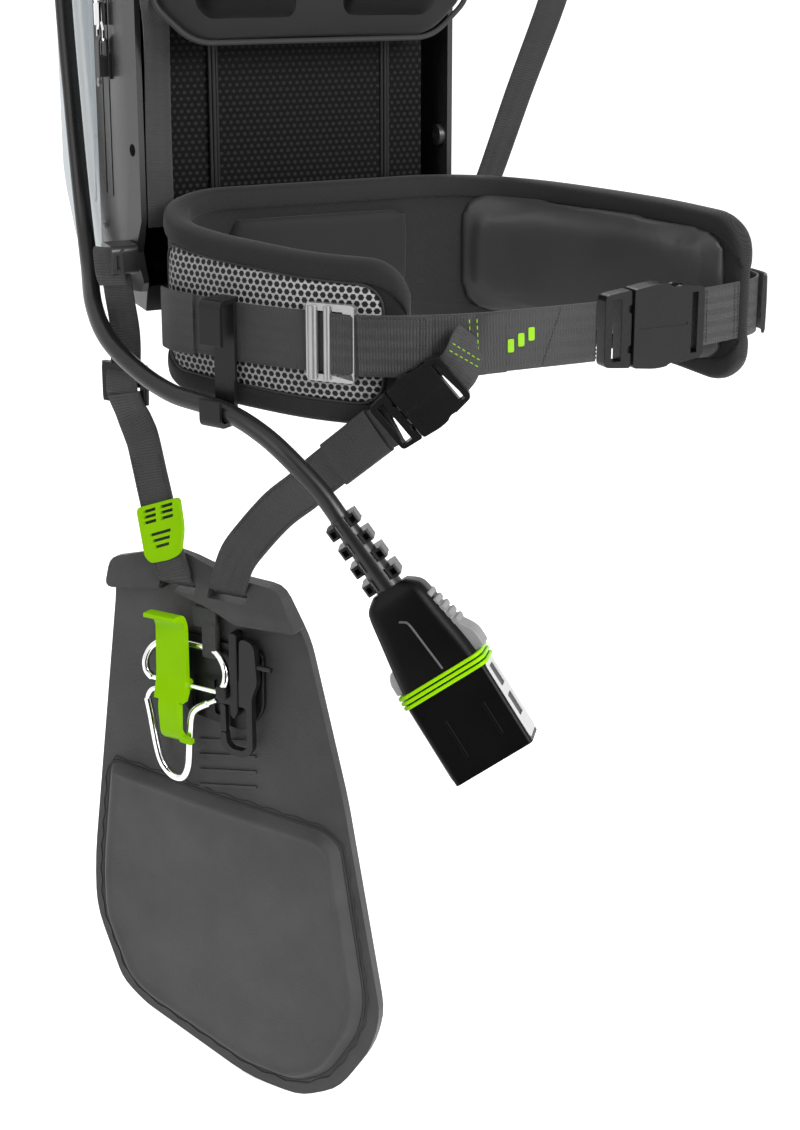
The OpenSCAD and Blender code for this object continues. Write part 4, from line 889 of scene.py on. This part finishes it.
shoulder_pad("shoulder_pad_left_dressed", LEFT_SHOULDER, (1, 0.3, 0), "shoulder_pad_left")
shoulder_pad("shoulder_pad_right_dressed", RIGHT_SHOULDER, (0.8, -0.5, 0), "shoulder_pad_right")


def shoulder_webbing(side, points, width, across, across_end):
    """The thin webbing that runs from the end of a shoulder pad back to the frame."""
    dress(band(f"shoulder_webbing_{side}_dressed", points, width, 1.9, across, across_end),
          WEBBING, "webbing", f"shoulder_webbing_{side}")


shoulder_webbing("left", [(-156, -14, -152), (-150, 14, -184), (-138, 46, -222),
                          (-133, 63, -256), (-133, 66, -320), (-133, 66, -400)],
                 24, (1, 0.3, 0), (1, 0, 0))
shoulder_webbing("right", [(211, -35, -162), (209, -18, -206), (199, 24, -290),
                           (188, 60, -372), (180, 80, -413)], 25, (0.8, -0.5, 0), (1, -0.2, 0))


# ---------------------------------------------------------------- hip belt

BELT_LINE, BELT_S = curve(BELT, 2.0, dims=2)
BELT_T = unit(np.gradient(BELT_LINE[:, :2], axis=0))
BELT_N = np.stack([-BELT_T[:, 1], BELT_T[:, 0]], 1)
# Arc length of the belt up to each point of its plan
BELT_KNOTS = np.array([BELT_S[np.argmin(np.hypot(*(BELT_LINE[:, :2] - k[:2]).T))] for k in
                       np.array(BELT, float)])


def belt_at(s, off, z):
    """Points of the belt at arc length s, a distance outward from its middle, and height z."""
    s, off, z = np.broadcast_arrays(*(np.asarray(v, float) for v in (s, off, z)))
    xy = points_at(BELT_LINE[:, :2], BELT_S, s) + off[..., None] * points_at(BELT_N, BELT_S, s)
    return np.concatenate([xy, z[..., None]], -1)


def belt_edge(s, column):
    """The height of the belt's top (column 2) or bottom (column 3) edge at arc length s."""
    return np.interp(s, BELT_S, BELT_LINE[:, column])


def drawn_in(s, s0, s1, radius, least=0):
    """How far an edge is drawn in near both ends of a stretch, on quarter circles."""
    d = np.clip(np.minimum(s - s0, s1 - s), least, radius)
    return radius - np.sqrt(radius ** 2 - (radius - d) ** 2)


def belt_body():
    """The belt's foam: a section with a thick rim along both edges and a thinner core between
    them, carried along the belt. Toward each tip the edges are drawn in on a quarter circle
    and the section thins as a quarter of an ellipse."""
    s = BELT_S
    c = drawn_in(s, 0, s[-1], CORNER, least=1)
    top, low = BELT_LINE[:, 2] - c, BELT_LINE[:, 3] + c
    e = np.minimum(s, s[-1] - s)
    thin = 0.3 + 0.7 * np.sqrt(1 - (1 - np.minimum(e / 12, 1)) ** 2)
    h, core = BELT_HALF * thin, (BELT_HALF - 3.2) * thin
    mid = (top + low) / 2
    o = np.zeros_like(h)
    ctrl = np.stack([np.stack(v, 1) for v in (
        (o, top), (-h * 0.8, top - 3), (-h, top - 10), (-h * 0.96, top - 18),
        (-core, top - RIM), (-core, mid), (-core, low + RIM), (-h * 0.96, low + 18),
        (-h, low + 10), (-h * 0.8, low + 3), (o, low), (h * 0.8, low + 3), (h, low + 10),
        (h * 0.96, low + 18), (core, low + RIM), (core, mid), (core, top - RIM),
        (h * 0.96, top - 18), (h, top - 10), (h * 0.8, top - 3))], 1)
    loop = closed_curve(ctrl)
    grid = belt_at(s[:, None], loop[..., 0], loop[..., 1])
    uv = np.stack(np.broadcast_arrays(s[:, None], loop[..., 1]), -1) * MM
    belt = skin("hip_belt_dressed", grid, uv, sharp=60)
    dress(belt, TWILL_FABRIC, "foam", "hip_belt")


belt_body()


def belt_net(tag, s0, s1, node):
    """Spacer net set in the rim: it stands out by a flat bulge, and its border has rounded
    corners. A round cord is sewn along the border."""
    bulge, lip, corner, cord_d = 2.6, 4, 20, 2.4
    sunk = BELT_HALF - bulge
    s = np.r_[np.linspace(s0, s0 + 6, 7)[:-1], np.arange(s0 + 6, s1 - 6, 3),
              np.linspace(s1 - 6, s1, 7)]
    v = np.linspace(-1, 1, 33)
    top = belt_edge(s, 2) - RIM + lip - drawn_in(s, s0, s1, corner)
    low = belt_edge(s, 3) + RIM - lip + drawn_in(s, s0, s1, corner)
    mid, half = (top + low) / 2, (top - low) / 2
    z = mid[:, None] + half[:, None] * v
    edge = np.clip(np.minimum(s - s0, s1 - s), 0, 12) / 12
    off = sunk + bulge * (1 - np.abs(v) ** 6)[None] * np.sqrt(1 - (1 - edge[:, None]) ** 2)
    uv = np.stack(np.broadcast_arrays(s[:, None], z), -1) * MM
    net = skin(f"belt_net_{tag}_dressed", belt_at(s[:, None], off, z), uv, ring=False)
    thick = net.modifiers.new("thick", "SOLIDIFY")
    thick.thickness = 1.0 * MM
    thick.offset = -1
    apply(net)
    outward(net.data)
    dress(net, NET, "net", node)
    round_s = np.r_[s, np.full(22, s[-1]), s[::-1], np.full(22, s[0])]
    round_z = np.r_[top, np.linspace(top[-1], low[-1], 24)[1:-1], low[::-1],
                    np.linspace(low[0], top[0], 24)[1:-1]]
    border = closed_line(belt_at(round_s, sunk + 0.8, round_z), 2.5)
    n = belt_at(s0, 1, 0) - belt_at(s0, 0, 0)
    cord = ring_tube(f"belt_net_{tag}_cord", border, cord_d, 8, (n[0], n[1], 0.01))
    dress(cord, BINDING, "foam")


belt_net("left", BELT_KNOTS[0] + 20, BELT_KNOTS[5] + 12, "belt_net_left")
belt_net("right", BELT_KNOTS[12], BELT_KNOTS[16] + 14, "belt_net_right")


def belt_lobe(name, s0, s1, drop, rise, node, material, corner=30):
    """A cushion on the belt's inner face: its height is the rise times
    (1 - |a|^p)^(1/p) times (1 - |b|^p)^(1/p) over both directions, its corners rounded."""
    power = 3.4
    s = s0 + (s1 - s0) * (1 - np.cos(np.linspace(0, np.pi, 60))) / 2
    b = np.sin(np.linspace(-np.pi / 2, np.pi / 2, 28))
    a = 2 * (s - s0) / (s1 - s0) - 1
    draw = drawn_in(s, s0 - 1, s1 + 1, corner)
    top, low = belt_edge(s, 2) - drop - draw, belt_edge(s, 3) + drop + draw
    mid, half = (top + low) / 2, (top - low) / 2
    shape = ((1 - np.abs(a) ** power) ** (1 / power))[:, None] \
        * ((1 - np.abs(b) ** power) ** (1 / power))[None]
    front = belt_at(s[:, None], -BELT_HALF + 2.5 - rise * shape, mid[:, None] + half[:, None] * b)
    back = belt_at(s[:, None], -BELT_HALF + 4.5, mid[:, None] + half[:, None] * b[::-1])
    lobe = skin(name, np.concatenate([front, back], 1))
    dress(swell(lobe, voxel=4.5, pressure=4.0, cap=3.0), material, "foam", node)


belt_lobe("wing_pad_right_dressed", BELT_KNOTS[11] + 30, BELT_KNOTS[16] + 22, 13, 13.5,
          "wing_pad_right", FOAM_SKIN)
belt_lobe("wing_pad_left_dressed", BELT_KNOTS[1], BELT_KNOTS[6] + 12, 18, 9.0,
          "wing_pad_left", FOAM_SKIN)
belt_lobe("lumbar_pad_dressed", BELT_KNOTS[7] + 16, BELT_KNOTS[10] + 40, 22, 5.0,
          "lumbar_pad", TWILL_FABRIC, 24)


# ---------------------------------------------------------------- belt webbing

def cross_rows(half, *places):
    """Rows that go across a band at some places along it."""
    return [(at, -half, at, half) for at in places]


def sewn(name, points, across, rows, lift, across_end=None, thread=THREAD, body="frame", **size):
    """Rows of stitches on a band, each along a line between two places (s, x) on it."""
    t = np.linspace(0, 1, 9)
    for k, (s0, x0, s1, x1) in enumerate(rows):
        p, up = on_band(points, across, s0 + (s1 - s0) * t, x0 + (x1 - x0) * t, lift, across_end)
        dress(stitches(f"{name}_{k}", p, up.mean(0), **size), thread, "webbing", body=body)


def dashes(name, points, across, half, places, across_end=None):
    """Rows of long lime stitches across a band at some places along it."""
    sewn(name, points, across, cross_rows(half, *places), 1.2, across_end, LIME_THREAD,
         pitch=5.2, length=3.4, thick=1.0)


WAIST_W = 50      # width of the waist webbing
WEB_THICK = 2     # thickness of the belt's and the straps' webbing
SEWN_HALF = 23    # half of the width that its seams go over
SEAM_LIFT = 1.3   # height of a seam's thread over the webbing's middle

REAR_WEB = [(-151, 8, -466), (-149, -14, -466), (-132, -48, -466), (-106, -88, -467),
            (-77, -125, -467), (-58, -143, -467)]
FRONT_WEB = [(-61, -147, -467), (-42, -163, -467), (-12, -184, -466), (44, -203, -465),
             (100, -209, -464), (148, -209.5, -464)]
END_WEB = [(248, -203.5, -463), (284, -198, -462), (314, -191, -461), (328, -177, -460),
           (324, -158, -459), (310, -132, -458)]


def waist_piece(name, points, *nodes, width=WAIST_W, thick=WEB_THICK, puff=0.0):
    """A piece of the waist webbing, standing on edge."""
    dress(band(name, points, width, thick, UP, puff=puff), WEBBING, "webbing", *nodes)


def waist_webbing():
    """The belt's webbing: at the rear, doubled and folded at the front, and the sewn end."""
    half = SEWN_HALF
    waist_piece("waist_webbing_rear_dressed", REAR_WEB, "waist_webbing_rear")
    keeper = [(-153.4, 2, -466), (-151, -16, -466), (-139, -40, -466)]
    waist_piece("waist_webbing_keeper", keeper, width=53, thick=2.2)
    waist_piece("waist_webbing_front_dressed", FRONT_WEB, "waist_webbing_front")
    doubled = [(-43, -165, -467), (-13, -186.2, -466), (8, -194.2, -466)]
    waist_piece("waist_webbing_doubled", doubled)
    sewn("doubled_seam", doubled, UP, cross_rows(half, 50, 54)
         + [(4, -half, 54, -half), (4, half, 54, half)], SEAM_LIFT)
    sewn("front_seam", FRONT_WEB, UP, cross_rows(half, 120) + [(176, -half, 192, half)]
         + cross_rows(half, 226, 230), SEAM_LIFT)
    waist_piece("waist_webbing_end_dressed", END_WEB, "waist_webbing_end")
    flap = [(326, -192, -460), (334, -180, -460), (332, -162, -459)]
    waist_piece("waist_webbing_flap", flap, width=51, thick=3, puff=0.3)
    sewn("end_seam", END_WEB, UP, cross_rows(half, 12, 44, 48), SEAM_LIFT)


waist_webbing()


def slanted_fold():
    """A flap folded over the webbing on the slant, held by lime dashes along its edge."""
    path, slant = [(34, -203, -466), (47, -206.5, -465.5), (66, -209, -465)], (0.55, -0.05, 0.84)
    dress(band("slanted_fold", path, 49, 1.6, slant, puff=0.2), WEBBING, "webbing")
    dashes("slanted_fold_dash", path, slant, 22, (3, 9))


slanted_fold()


def lime_marks():
    """Three plain woven marks on the front webbing: thin rounded plates bent along it."""
    width, height = 5.5, 11
    face = corner_box(width, height, 1.2)
    for k in range(3):
        rows = []
        for by, up in ((0.4, 0.0), (0.0, 0.25), (0.1, 0.5)):
            q = face * (1 - by * 2 / height)
            rows.append(on_band(FRONT_WEB, UP, 148 + 9 * k + q[:, 0], -4 + 4 * k + q[:, 1],
                                1.0 + up)[0])
        dress(skin(f"lime_mark_{k}", np.array(rows)), LIME_THREAD, "webbing")


lime_marks()


# ---------------------------------------------------------------- the hip pad

# The front strap from its buckle up to the waist webbing, and its width direction at both ends
FRONT_STRAP = [(13.5, -211.5, -489.8), (23, -213, -479.5), (31, -208.5, -467),
               (38, -205.5, -457)]
FRONT_STRAP_TURN = ((-0.575, 0.268, 0.773), (-0.16, 0.07, 0.98))


def pad_straps():
    """The strap that carries the pad's rear, and the one from the buckle up to the webbing."""
    rear = pads([(-99, 119, -4), (-98, 90, -8), (-95, 64, -9.5), (-91, 42, -5), (-89, 24, 0)])
    loop = pads([(-99, 119, -4), (-99, 133, 0), (-99, 133, 5), (-98, 112, 4), (-97, 102, 1)])
    turn = pads([(-89, 27, 1), (-89, 22, 5), (-89, 13, 5.6), (-89, 5, 5.2), (-88, 0, 1)])
    for name, path, width, thick, nodes in (
            ("pad_strap_rear_dressed", rear, 32, WEB_THICK, ["pad_strap_rear"]),
            ("pad_strap_rear_loop", loop, 32, 1.6, []),
            ("pad_strap_rear_turn", turn, 34, 1.8, [])):
        dress(band(name, path, width, thick, ACROSS), WEBBING, "webbing", *nodes)
    low, high = FRONT_STRAP_TURN
    dress(band("pad_strap_front_dressed", FRONT_STRAP, 36, WEB_THICK, low, high), WEBBING,
          "webbing", "pad_strap_front")
    dashes("front_strap_dash", FRONT_STRAP, low, 16, (21, 27), high)


pad_straps()

# The two webbings that carry the pad, from its frame side down: u, v and out on the pad's plane
REAR_HANGER = pads([(-87, 6, 5.6), (-85, -2, 4.6), (-81, -13, 2.6), (-74.5, -25, 3),
                    (-69, -36, 4.2), (-63.7, -55, 5.2), (-59.3, -71, 6.2), (-53.2, -90, 8.2),
                    (-45.5, -114, 11.2), (-39, -136, 14.4), (-33, -150, 15.2), (-30.5, -157, 15),
                    (-29, -163, 8)])
FRONT_HANGER = pads([(205.5, 27.6, 45), (198, 23, 43.8), (186.5, 15.3, 42), (166, -1.4, 38),
                     (144.9, -18.6, 34), (126.3, -34, 30), (110, -48.7, 26.5), (81.6, -71.8, 21),
                     (54.5, -101.1, 18), (35.9, -125.1, 16), (26, -150, 15), (24, -157, 13.5),
                     (24, -163, 8)])
FRONT_SLANT = ACROSS * 0.64 + UP * -0.77
# Two places (u, v, out) on each of them, meant as the ends of its bend with the pad; nothing bends
# it
REAR_BEND = ((-84, -2, 4), (-66, -46, 5))
FRONT_BEND = ((203, 25, 44), (135, -26, 32))


def across_swing(obj, bend, *nodes):
    """Webbing that hangs from the frame: it takes the webbing's material, its mesh is baked in
    place and what it stands for is hidden. The two places (u, v, out) in bend are turned into
    points that nothing uses.
    """
    obj.data.materials.clear()
    obj.data.materials.append(WEBBING)
    if nodes:
        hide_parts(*nodes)
    start, end = (tuple(pad_at(*p) * MM) for p in bend)
    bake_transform(obj)
    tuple(start)
    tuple(end)


def pad_hangers():
    """The pad's own webbing, sewn along its edges, with the sleeve at its upper end."""
    width, thick, seam = 36, 3.4, 15
    across_swing(band("pad_webbing_rear_dressed", REAR_HANGER, width, thick, ACROSS), REAR_BEND,
                 "pad_webbing_rear")
    across_swing(band("pad_webbing_front_dressed", FRONT_HANGER, width, thick, FRONT_SLANT,
                      ACROSS), FRONT_BEND, "pad_webbing_front")
    sleeve = pads([(191, 19, 43), (166, -1.4, 38), (144.9, -18.6, 34)])
    across_swing(band("pad_sleeve", sleeve, 40, 6, FRONT_SLANT, puff=0.15), FRONT_BEND)
    for tag, path, across, across_end, s0, s1 in (
            ("rear", REAR_HANGER, ACROSS, None, 60, 168),
            ("front", FRONT_HANGER, FRONT_SLANT, ACROSS, 92, 214)):
        sewn(f"hanger_seam_{tag}", path, across, [(s0, x, s1, x) for x in (-seam, seam)], 2.0,
             across_end, body="hip_pad")


pad_hangers()
# The plate wears the darker copy of the cushion's skin: painted shade
rigid("pad_plate", PLATE_SKIN_SHADED, "charcoal", 1.8, 3)

# The cushion's outline on the pad, and how far each of its corners is rounded
PANEL = [(-118, -356), (-4, -366), (114, -372), (130, -382), (154, -532), (146, -566),
         (116, -616), (82, -636), (30, -634), (-84, -596), (-106, -580), (-132, -518),
         (-132, -468)]
PANEL_ROUND = [10, 10, 10, 10, 16, 14, 16, 14, 16, 10, 10, 16, 20]


def pad_cushion():
    """The pad's lower cushion: a steep side rises from the outline to a rounded crest inside
    it, the top lies a little lower and bulges by 1 - f^3 toward the middle. A thread runs round
    it on the plate in long slanting stitches."""
    loop = outline(PANEL, PANEL_ROUND, 4)
    crest, top_depth, bulge = 8.8, 13.2, 1.6
    side = [(0.4, 4.4), (0.0, 5.6), (1.2, 7.2), (3.4, 9.6), (5.4, 12.0), (6.8, 13.4), (7.8, 14.1),
            (crest, 14.3)]
    grid = [pad_at(*inset(loop, by).T, depth) for by, depth in side]
    top, c = inset(loop, crest), loop.mean(0)
    for f, depth in ((0.985, 14.1), (0.972, 13.5), (0.955, top_depth), (0.93, top_depth)):
        grid.append(pad_at(*(c + (top - c) * f).T, depth))
    for k in range(1, 12):
        f = 1 - k / 12
        grid.append(pad_at(*(c + (top - c) * 0.93 * f).T, top_depth + bulge * (1 - f ** 3)))
    cover = skin("pad_panel_dressed", np.array(grid))
    dress(cover, CHARCOAL, "charcoal", "pad_panel", body="hip_pad")
    # A cord round the cushion's foot in dark thread: its darkness is a painted shade of the groove
    groove = ring_tube("pad_panel_groove_shade", pad_at(*inset(loop, -0.9).T, 4.9), 2.2, 8, OUT)
    dress(groove, THREAD, "charcoal", body="hip_pad")
    near, far = (np.vstack([p, p[:1]]) for p in (inset(loop, -3.4), inset(loop, -5.6)))
    s = run_of(np.vstack([loop, loop[:1]]))
    at = np.linspace(0, s[-1], 2 * int(s[-1] / 24), endpoint=False)
    odd = (np.arange(len(at)) % 2)[:, None]
    zigzag = np.where(odd, points_at(far, s, at), points_at(near, s, at))
    seam = ring_tube("pad_panel_seam", pad_at(*zigzag.T, 5.0), 0.9, 6, OUT)
    dress(seam, THREAD, "charcoal", body="hip_pad")


pad_cushion()


# ---------------------------------------------------------------- the hooks' bracket

def bracket_block(name, u, v, w, h, rear, front, corner, material=MOULDED, slot="moulded"):
    """A rounded block on the pad, w by h about u, v, from one depth to another."""
    loop = corner_box(w, h, corner) + np.array([u, v])
    dress(plate(name, loop, rear, front, pad_at, min(1.4, corner * 0.5)), material, slot,
          body="hip_pad")


def bracket():
    """The moulded plate with its two slots, the rib, the blocks and the bright ring."""
    loop = outline([(-34, -208), (56, -212), (56, -270), (34, -292), (-26, -286), (-34, -270)],
                   [6, 8, 12, 10, 8, 7], 2)
    base = plate("hook_bracket_dressed", loop, 4.3, 9.5, pad_at, 1.2)
    slots = [plate(f"bracket_slot_{k}", corner_box(12, 34, 3) + np.array([u, -264]), 6.5, 12,
                   pad_at, 0.5) for k, u in enumerate((-14, 10))]
    dress(pierce(base, *slots), MOULDED, "moulded", "hook_bracket", body="hip_pad")
    rib = outline([(28, -194), (36, -194), (36, -268), (32, -276), (28, -272)], [3, 3, 3, 2, 2], 2)
    dress(plate("bracket_rib", rib, 9.0, 21.5, pad_at, 1.0), MOULDED, "moulded", body="hip_pad")
    bracket_block("bracket_ring_seat", 21, -251.5, 11, 13, 9.0, 26, 3)
    bracket_block("bracket_sewn_block", -0.5, -187, 25, 20, 11.9, 16.5, 3, WEBBING, "webbing")
    bracket_block("bracket_loop", 4, -208, 15, 34, 9.3, 17, 3, WEBBING, "webbing")
    pin_v, pin_out = -252, 22.5
    ring = pads([(-55, pin_v, pin_out), (-61, -246, 22), (-62, -235, 20), (-55, -223, 15.5),
                 (-38, -217, 13), (0, -217, 13), (14, -221, 15.5), (23, -232, 19.5),
                 (23, -244, 22), (16, pin_v, pin_out)])
    pin = pads([(u, pin_v, pin_out) for u in (-57, -20, 18)])
    for piece in (tube("bracket_ring", ring, 6.6, OUT, 1.5), tube("bracket_pin", pin, 5, OUT)):
        dress(piece, CHROME, "chrome", body="hip_pad")


bracket()

# The bail's wire from one end round to the other: u, and v from the height that it turns at
BAIL = [(12, 0), (4, -4.6), (-9, -13), (-14.5, -23), (-17, -48), (-19, -70), (-24, -82),
        (-31, -85.5), (-40, -83), (-49, -73), (-54, -56), (-59, -28), (-62, -14), (-57, -4),
        (-46, 0)]
BAIL_V, BAIL_OUT = -262, 20


def wire_bail():
    """The bail: a wire bent into a tapered loop, thicker all round it than at its two ends."""
    wire = pads([(u, v + BAIL_V, BAIL_OUT) for u, v in BAIL])
    dress(tube("wire_bail_dressed", wire, 5, OUT, 1.5), CHROME, "chrome", "wire_bail",
          body="wire_bail")
    dress(tube("wire_bail_loop", wire[1:-2], 7.2, OUT, 1.5), CHROME, "chrome", body="wire_bail")


wire_bail()


# ---------------------------------------------------------------- the lead and its plug

# The relief's direction, then the plug's place: its rear end, its direction and its width's
RELIEF_WAY = unit(np.array([34.0, -20.0, -56.0]))
PLUG_START = np.array(LEAD[-1], float) + RELIEF_LENGTH * RELIEF_WAY
PLUG_WAY = unit(np.array([0.381, -0.453, -0.806]))
PLUG_SIDE = np.array([0.745, -0.3655, 0.558])
PLUG_X = unit(PLUG_SIDE - PLUG_WAY * (PLUG_SIDE @ PLUG_WAY))
PLUG_Y = np.cross(PLUG_WAY, PLUG_X)


def plug_at(x, y, z):
    """The point of the plug at x across it, y toward the front and z along it."""
    x, y, z = np.broadcast_arrays(*(np.asarray(v, float) for v in (x, y, z)))
    return PLUG_START + x[..., None] * PLUG_X + y[..., None] * PLUG_Y + z[..., None] * PLUG_WAY


def edgewise(u, v, d):
    """The point of the plug at u across it and v along it, d toward the front."""
    return plug_at(u, d, v)


def sideways(u, v, d):
    """The point of the plug at u along it and v toward the front, d across it."""
    return plug_at(d, v, u)


def plug_shell():
    """The swelling housing with its raised line, whose lighter grey is a painted highlight, and
    three lime bands at its mouth.
    """
    rings = [(31, 28, -8, 9), (46, 33, -2, 10), (53, 36, 5, 11), (60, 39, 27, 12),
             (67, 42, 53, 11), (70, 46, 73, 9)]
    yield loft("power_plug_dressed", rings, plug_at), PLUG_SKIN, "lead", "power_plug"
    line = [(-4.6, 18.9, 18.7), (-1.5, 19.2, 20.6), (1.2, 19.4, 24.4), (3.5, 20.3, 45),
            (5.9, 22.0, 67)]
    # the raised line is real, its lighter grey a painted highlight
    yield tube("plug_line", [plug_at(*p) for p in line], 2.0, PLUG_X, 1.5, 8), GREY_LINE, "lead"
    band_z, band_pitch = 70, 4.2
    for k in range(3):
        z = band_z + band_pitch * k
        rings = [(78, 49, z, 9), (79, 50, z + 0.6, 9.5), (79, 50, z + 2.2, 9.5),
                 (78, 49, z + 2.8, 9)]
        yield loft(f"plug_band_{k}", rings, plug_at, 0.6), LIME, "lime"
    core = [(67, 42, band_z, 8), (67, 42, band_z + 12, 8)]
    yield loft("plug_core", core, plug_at), PLUG_SKIN, "lead"


def plug_mouth():
    """The square block with its open mouth, two front ribs, sides whose pale grey is a painted
    reflection, one of them pierced by two windows, and four contacts."""
    block = loft("plug_block", [(70, 42, 79.4, 3), (72, 44, 80.8, 4), (72, 44, 148.6, 4),
                                (71, 43, 149.6, 3.5)], plug_at, 3)
    mouth = loft("plug_mouth", [(50, 28, 127.6, 4), (50, 28, 160, 4)], plug_at)
    yield pierce(block, mouth), PLUG_SKIN, "lead"
    for k, (u, h) in enumerate(((-15, 34), (19, 30))):
        rib = corner_box(3, h, 1.4) + np.array([u, 120])
        yield plate(f"plug_front_rib_{k}", rib, 21.0, 22.9, edgewise, 0.5), PLUG_SKIN, "lead"
    side, wall = 35.4, 1.4
    # the cheeks' pale grey is a painted reflection
    for tag, way, windows in (("right", 1, (95.1, 122.1)), ("left", -1, ())):
        x = side * way
        cheek = plate(f"plug_cheek_{tag}", corner_box(68, 37, 4) + np.array([115, 0]), x,
                      x + wall * way, sideways, 0.5)
        cutters = [plate(f"plug_window_{k}", corner_box(19, 18, 2) + np.array([z, 1]),
                         x - 2 * way, x + 4 * way, sideways, 0.3)
                   for k, z in enumerate(windows)]
        yield pierce(cheek, *cutters), SIDE_REFLECTION_GREY, "lead"
    for k in range(4):
        blade = corner_box(1.6, 14, 0.5) + np.array([-18 + 12 * k, 0])
        yield plate(f"plug_blade_{k}", blade, 126, 144, plug_at, 0.3), STEEL, "steel"


def plug_rests():
    """The ribbed thumb rest with a bump beyond it, and a lug on the other side whose pale grey is
    a painted reflection.
    """
    pitch, lean, reach, wide = 7.1, 2.0, 10.5, 5.6
    for k in range(5):
        x, z = 18 + lean * k, 10 + pitch * k
        rib = outline([(x, z), (x + reach, z), (x + reach, z + wide), (x, z + wide)],
                      [1, 2, 2, 1], 1)
        yield plate(f"plug_grip_{k}", rib, -13, 13, edgewise, 1.6), PALE_GRIP, "lead"
    bump = outline([(16, 8), (26, 11), (34.5, 41), (43.5, 55), (43.5, 69.4), (30, 71)],
                   [2, 3, 3, 6, 2, 2], 1.5)
    yield plate("plug_bump", bump, -11.5, 12.5, edgewise, 2.5), PALE_GRIP, "lead"
    lug = outline([(-28, 49.6), (-37, 50.6), (-41, 58), (-41, 69.4), (-30, 70.2)],
                  [1, 3, 3, 1, 1], 1.5)
    yield plate("plug_lug", lug, -9, 9, edgewise, 1.2), SIDE_REFLECTION_GREY, "lead"


def plug():
    """All pieces of the plug, dressed, on its own body."""
    return [dress(*piece, body=BODY_OF["power_plug"])
            for part in (plug_shell, plug_mouth, plug_rests) for piece in part()]


def lead():
    """The lead from the casing on through its strain relief into the plug, one round tube."""
    route = [np.array(p, float) for p in LEAD] + [plug_at(0, 0, z) for z in (-30, -6, 12, 30, 50)]
    _, s = curve(route, 4)
    obj = dress(tube("power_cord_dressed", route, LEAD_D, (1, 0.2, 0), 4, 24), LEAD_SKIN, "lead",
                "power_cord", body=BODY_OF["power_cord"])
    sleeve = bpy.data.objects["strain_relief_dressed"]
    [sleeve] + plug()


lead()


# ---------------------------------------------------------------- floor and light

def seen_ray(tree):
    """1 for a ray that shows the background: straight from the camera, mirrored or through."""
    path = put(tree, "ShaderNodeLightPath")
    return calc(tree, "MAXIMUM", path.outputs["Is Camera Ray"], calc(
        tree, "MAXIMUM", path.outputs["Is Glossy Ray"], path.outputs["Is Transmission Ray"]))


def plain(name, level, rough=0.5):
    """A material of one level with no gloss, and its shader."""
    mat = bpy.data.materials.new(name)
    mat.use_nodes = True
    bsdf = mat.node_tree.nodes["Principled BSDF"]
    bsdf.inputs["Base Color"].default_value = grey(level)
    bsdf.inputs["Roughness"].default_value = rough
    bsdf.inputs["Specular IOR Level"].default_value = 0.0
    return mat, bsdf


def backdrop(low):
    """A pale floor whose far side curves up on a quarter circle into a wall."""
    far, radius = 3.0, 1.5
    a = np.linspace(0.1, np.pi / 2, 12)
    y = np.r_[np.linspace(-6, far, 10), far + radius * np.sin(a), np.full(6, far + radius)]
    z = np.r_[np.zeros(10), radius * (1 - np.cos(a)), np.linspace(1.8, 6, 6)] + low
    grid = np.stack(np.broadcast_arrays(np.linspace(-7, 7, 8)[:, None], y, z), -1) / MM
    floor = skin("floor", grid, ring=False)
    mat, bsdf = plain("floor", 0.8, 0.9)
    bsdf.inputs["Emission Color"].default_value = grey(1)
    tree = mat.node_tree
    tree.links.new(calc(tree, "MULTIPLY", seen_ray(tree), 0.8), bsdf.inputs["Emission Strength"])
    floor.data.materials.append(mat)


def dark_card(low):
    """A black upright card at the front left that only mirrored rays meet. It gives the bright
    metal and the glossy black plastic something dark to reflect."""
    mid, along = np.array([-0.41, -1.02]), np.array([0.94, -0.33])
    grid = [[[*(mid + along * w), z] for z in (low + 0.002, 0.35)] for w in (-0.5, 0.42)]
    card = skin("dark_card", np.array(grid) / MM, ring=False)
    card.data.materials.append(plain("dark_card", 0)[0])
    card.visible_camera = card.visible_diffuse = card.visible_shadow = False


def daylight():
    """An even world, which is white where it is seen, and three broad lamps."""
    world = bpy.data.worlds.new("room")
    bpy.context.scene.world = world
    world.use_nodes = True
    tree = world.node_tree
    back = tree.nodes["Background"]
    back.inputs["Color"].default_value = grey(1)
    tree.links.new(calc(tree, "MULTIPLY_ADD", seen_ray(tree), 0.74, 0.26), back.inputs["Strength"])
    for name, at, aim, size, power in (
            ("key", (1.35, -3.2, 1.3), (0.1, 0, -0.5), 1.8, 150),
            ("fill", (-2.8, -1.2, 0.9), (0, 0, -0.6), 2.2, 22),
            ("rim", (0.8, 2.4, 2.2), (0, 0, -0.3), 1.8, 45)):
        data = bpy.data.lights.new(name, "AREA")
        data.size = size
        data.energy = power
        lamp = add_object(name, data)
        lamp.location = at
        lamp.rotation_euler = (Vector(aim) - Vector(at)).to_track_quat("-Z", "Y").to_euler()


lowest = min(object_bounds()[0][2], cad_box[0][2])
backdrop(lowest)
daylight()
dark_card(lowest)
bpy.context.scene.view_settings.view_transform = "Standard"
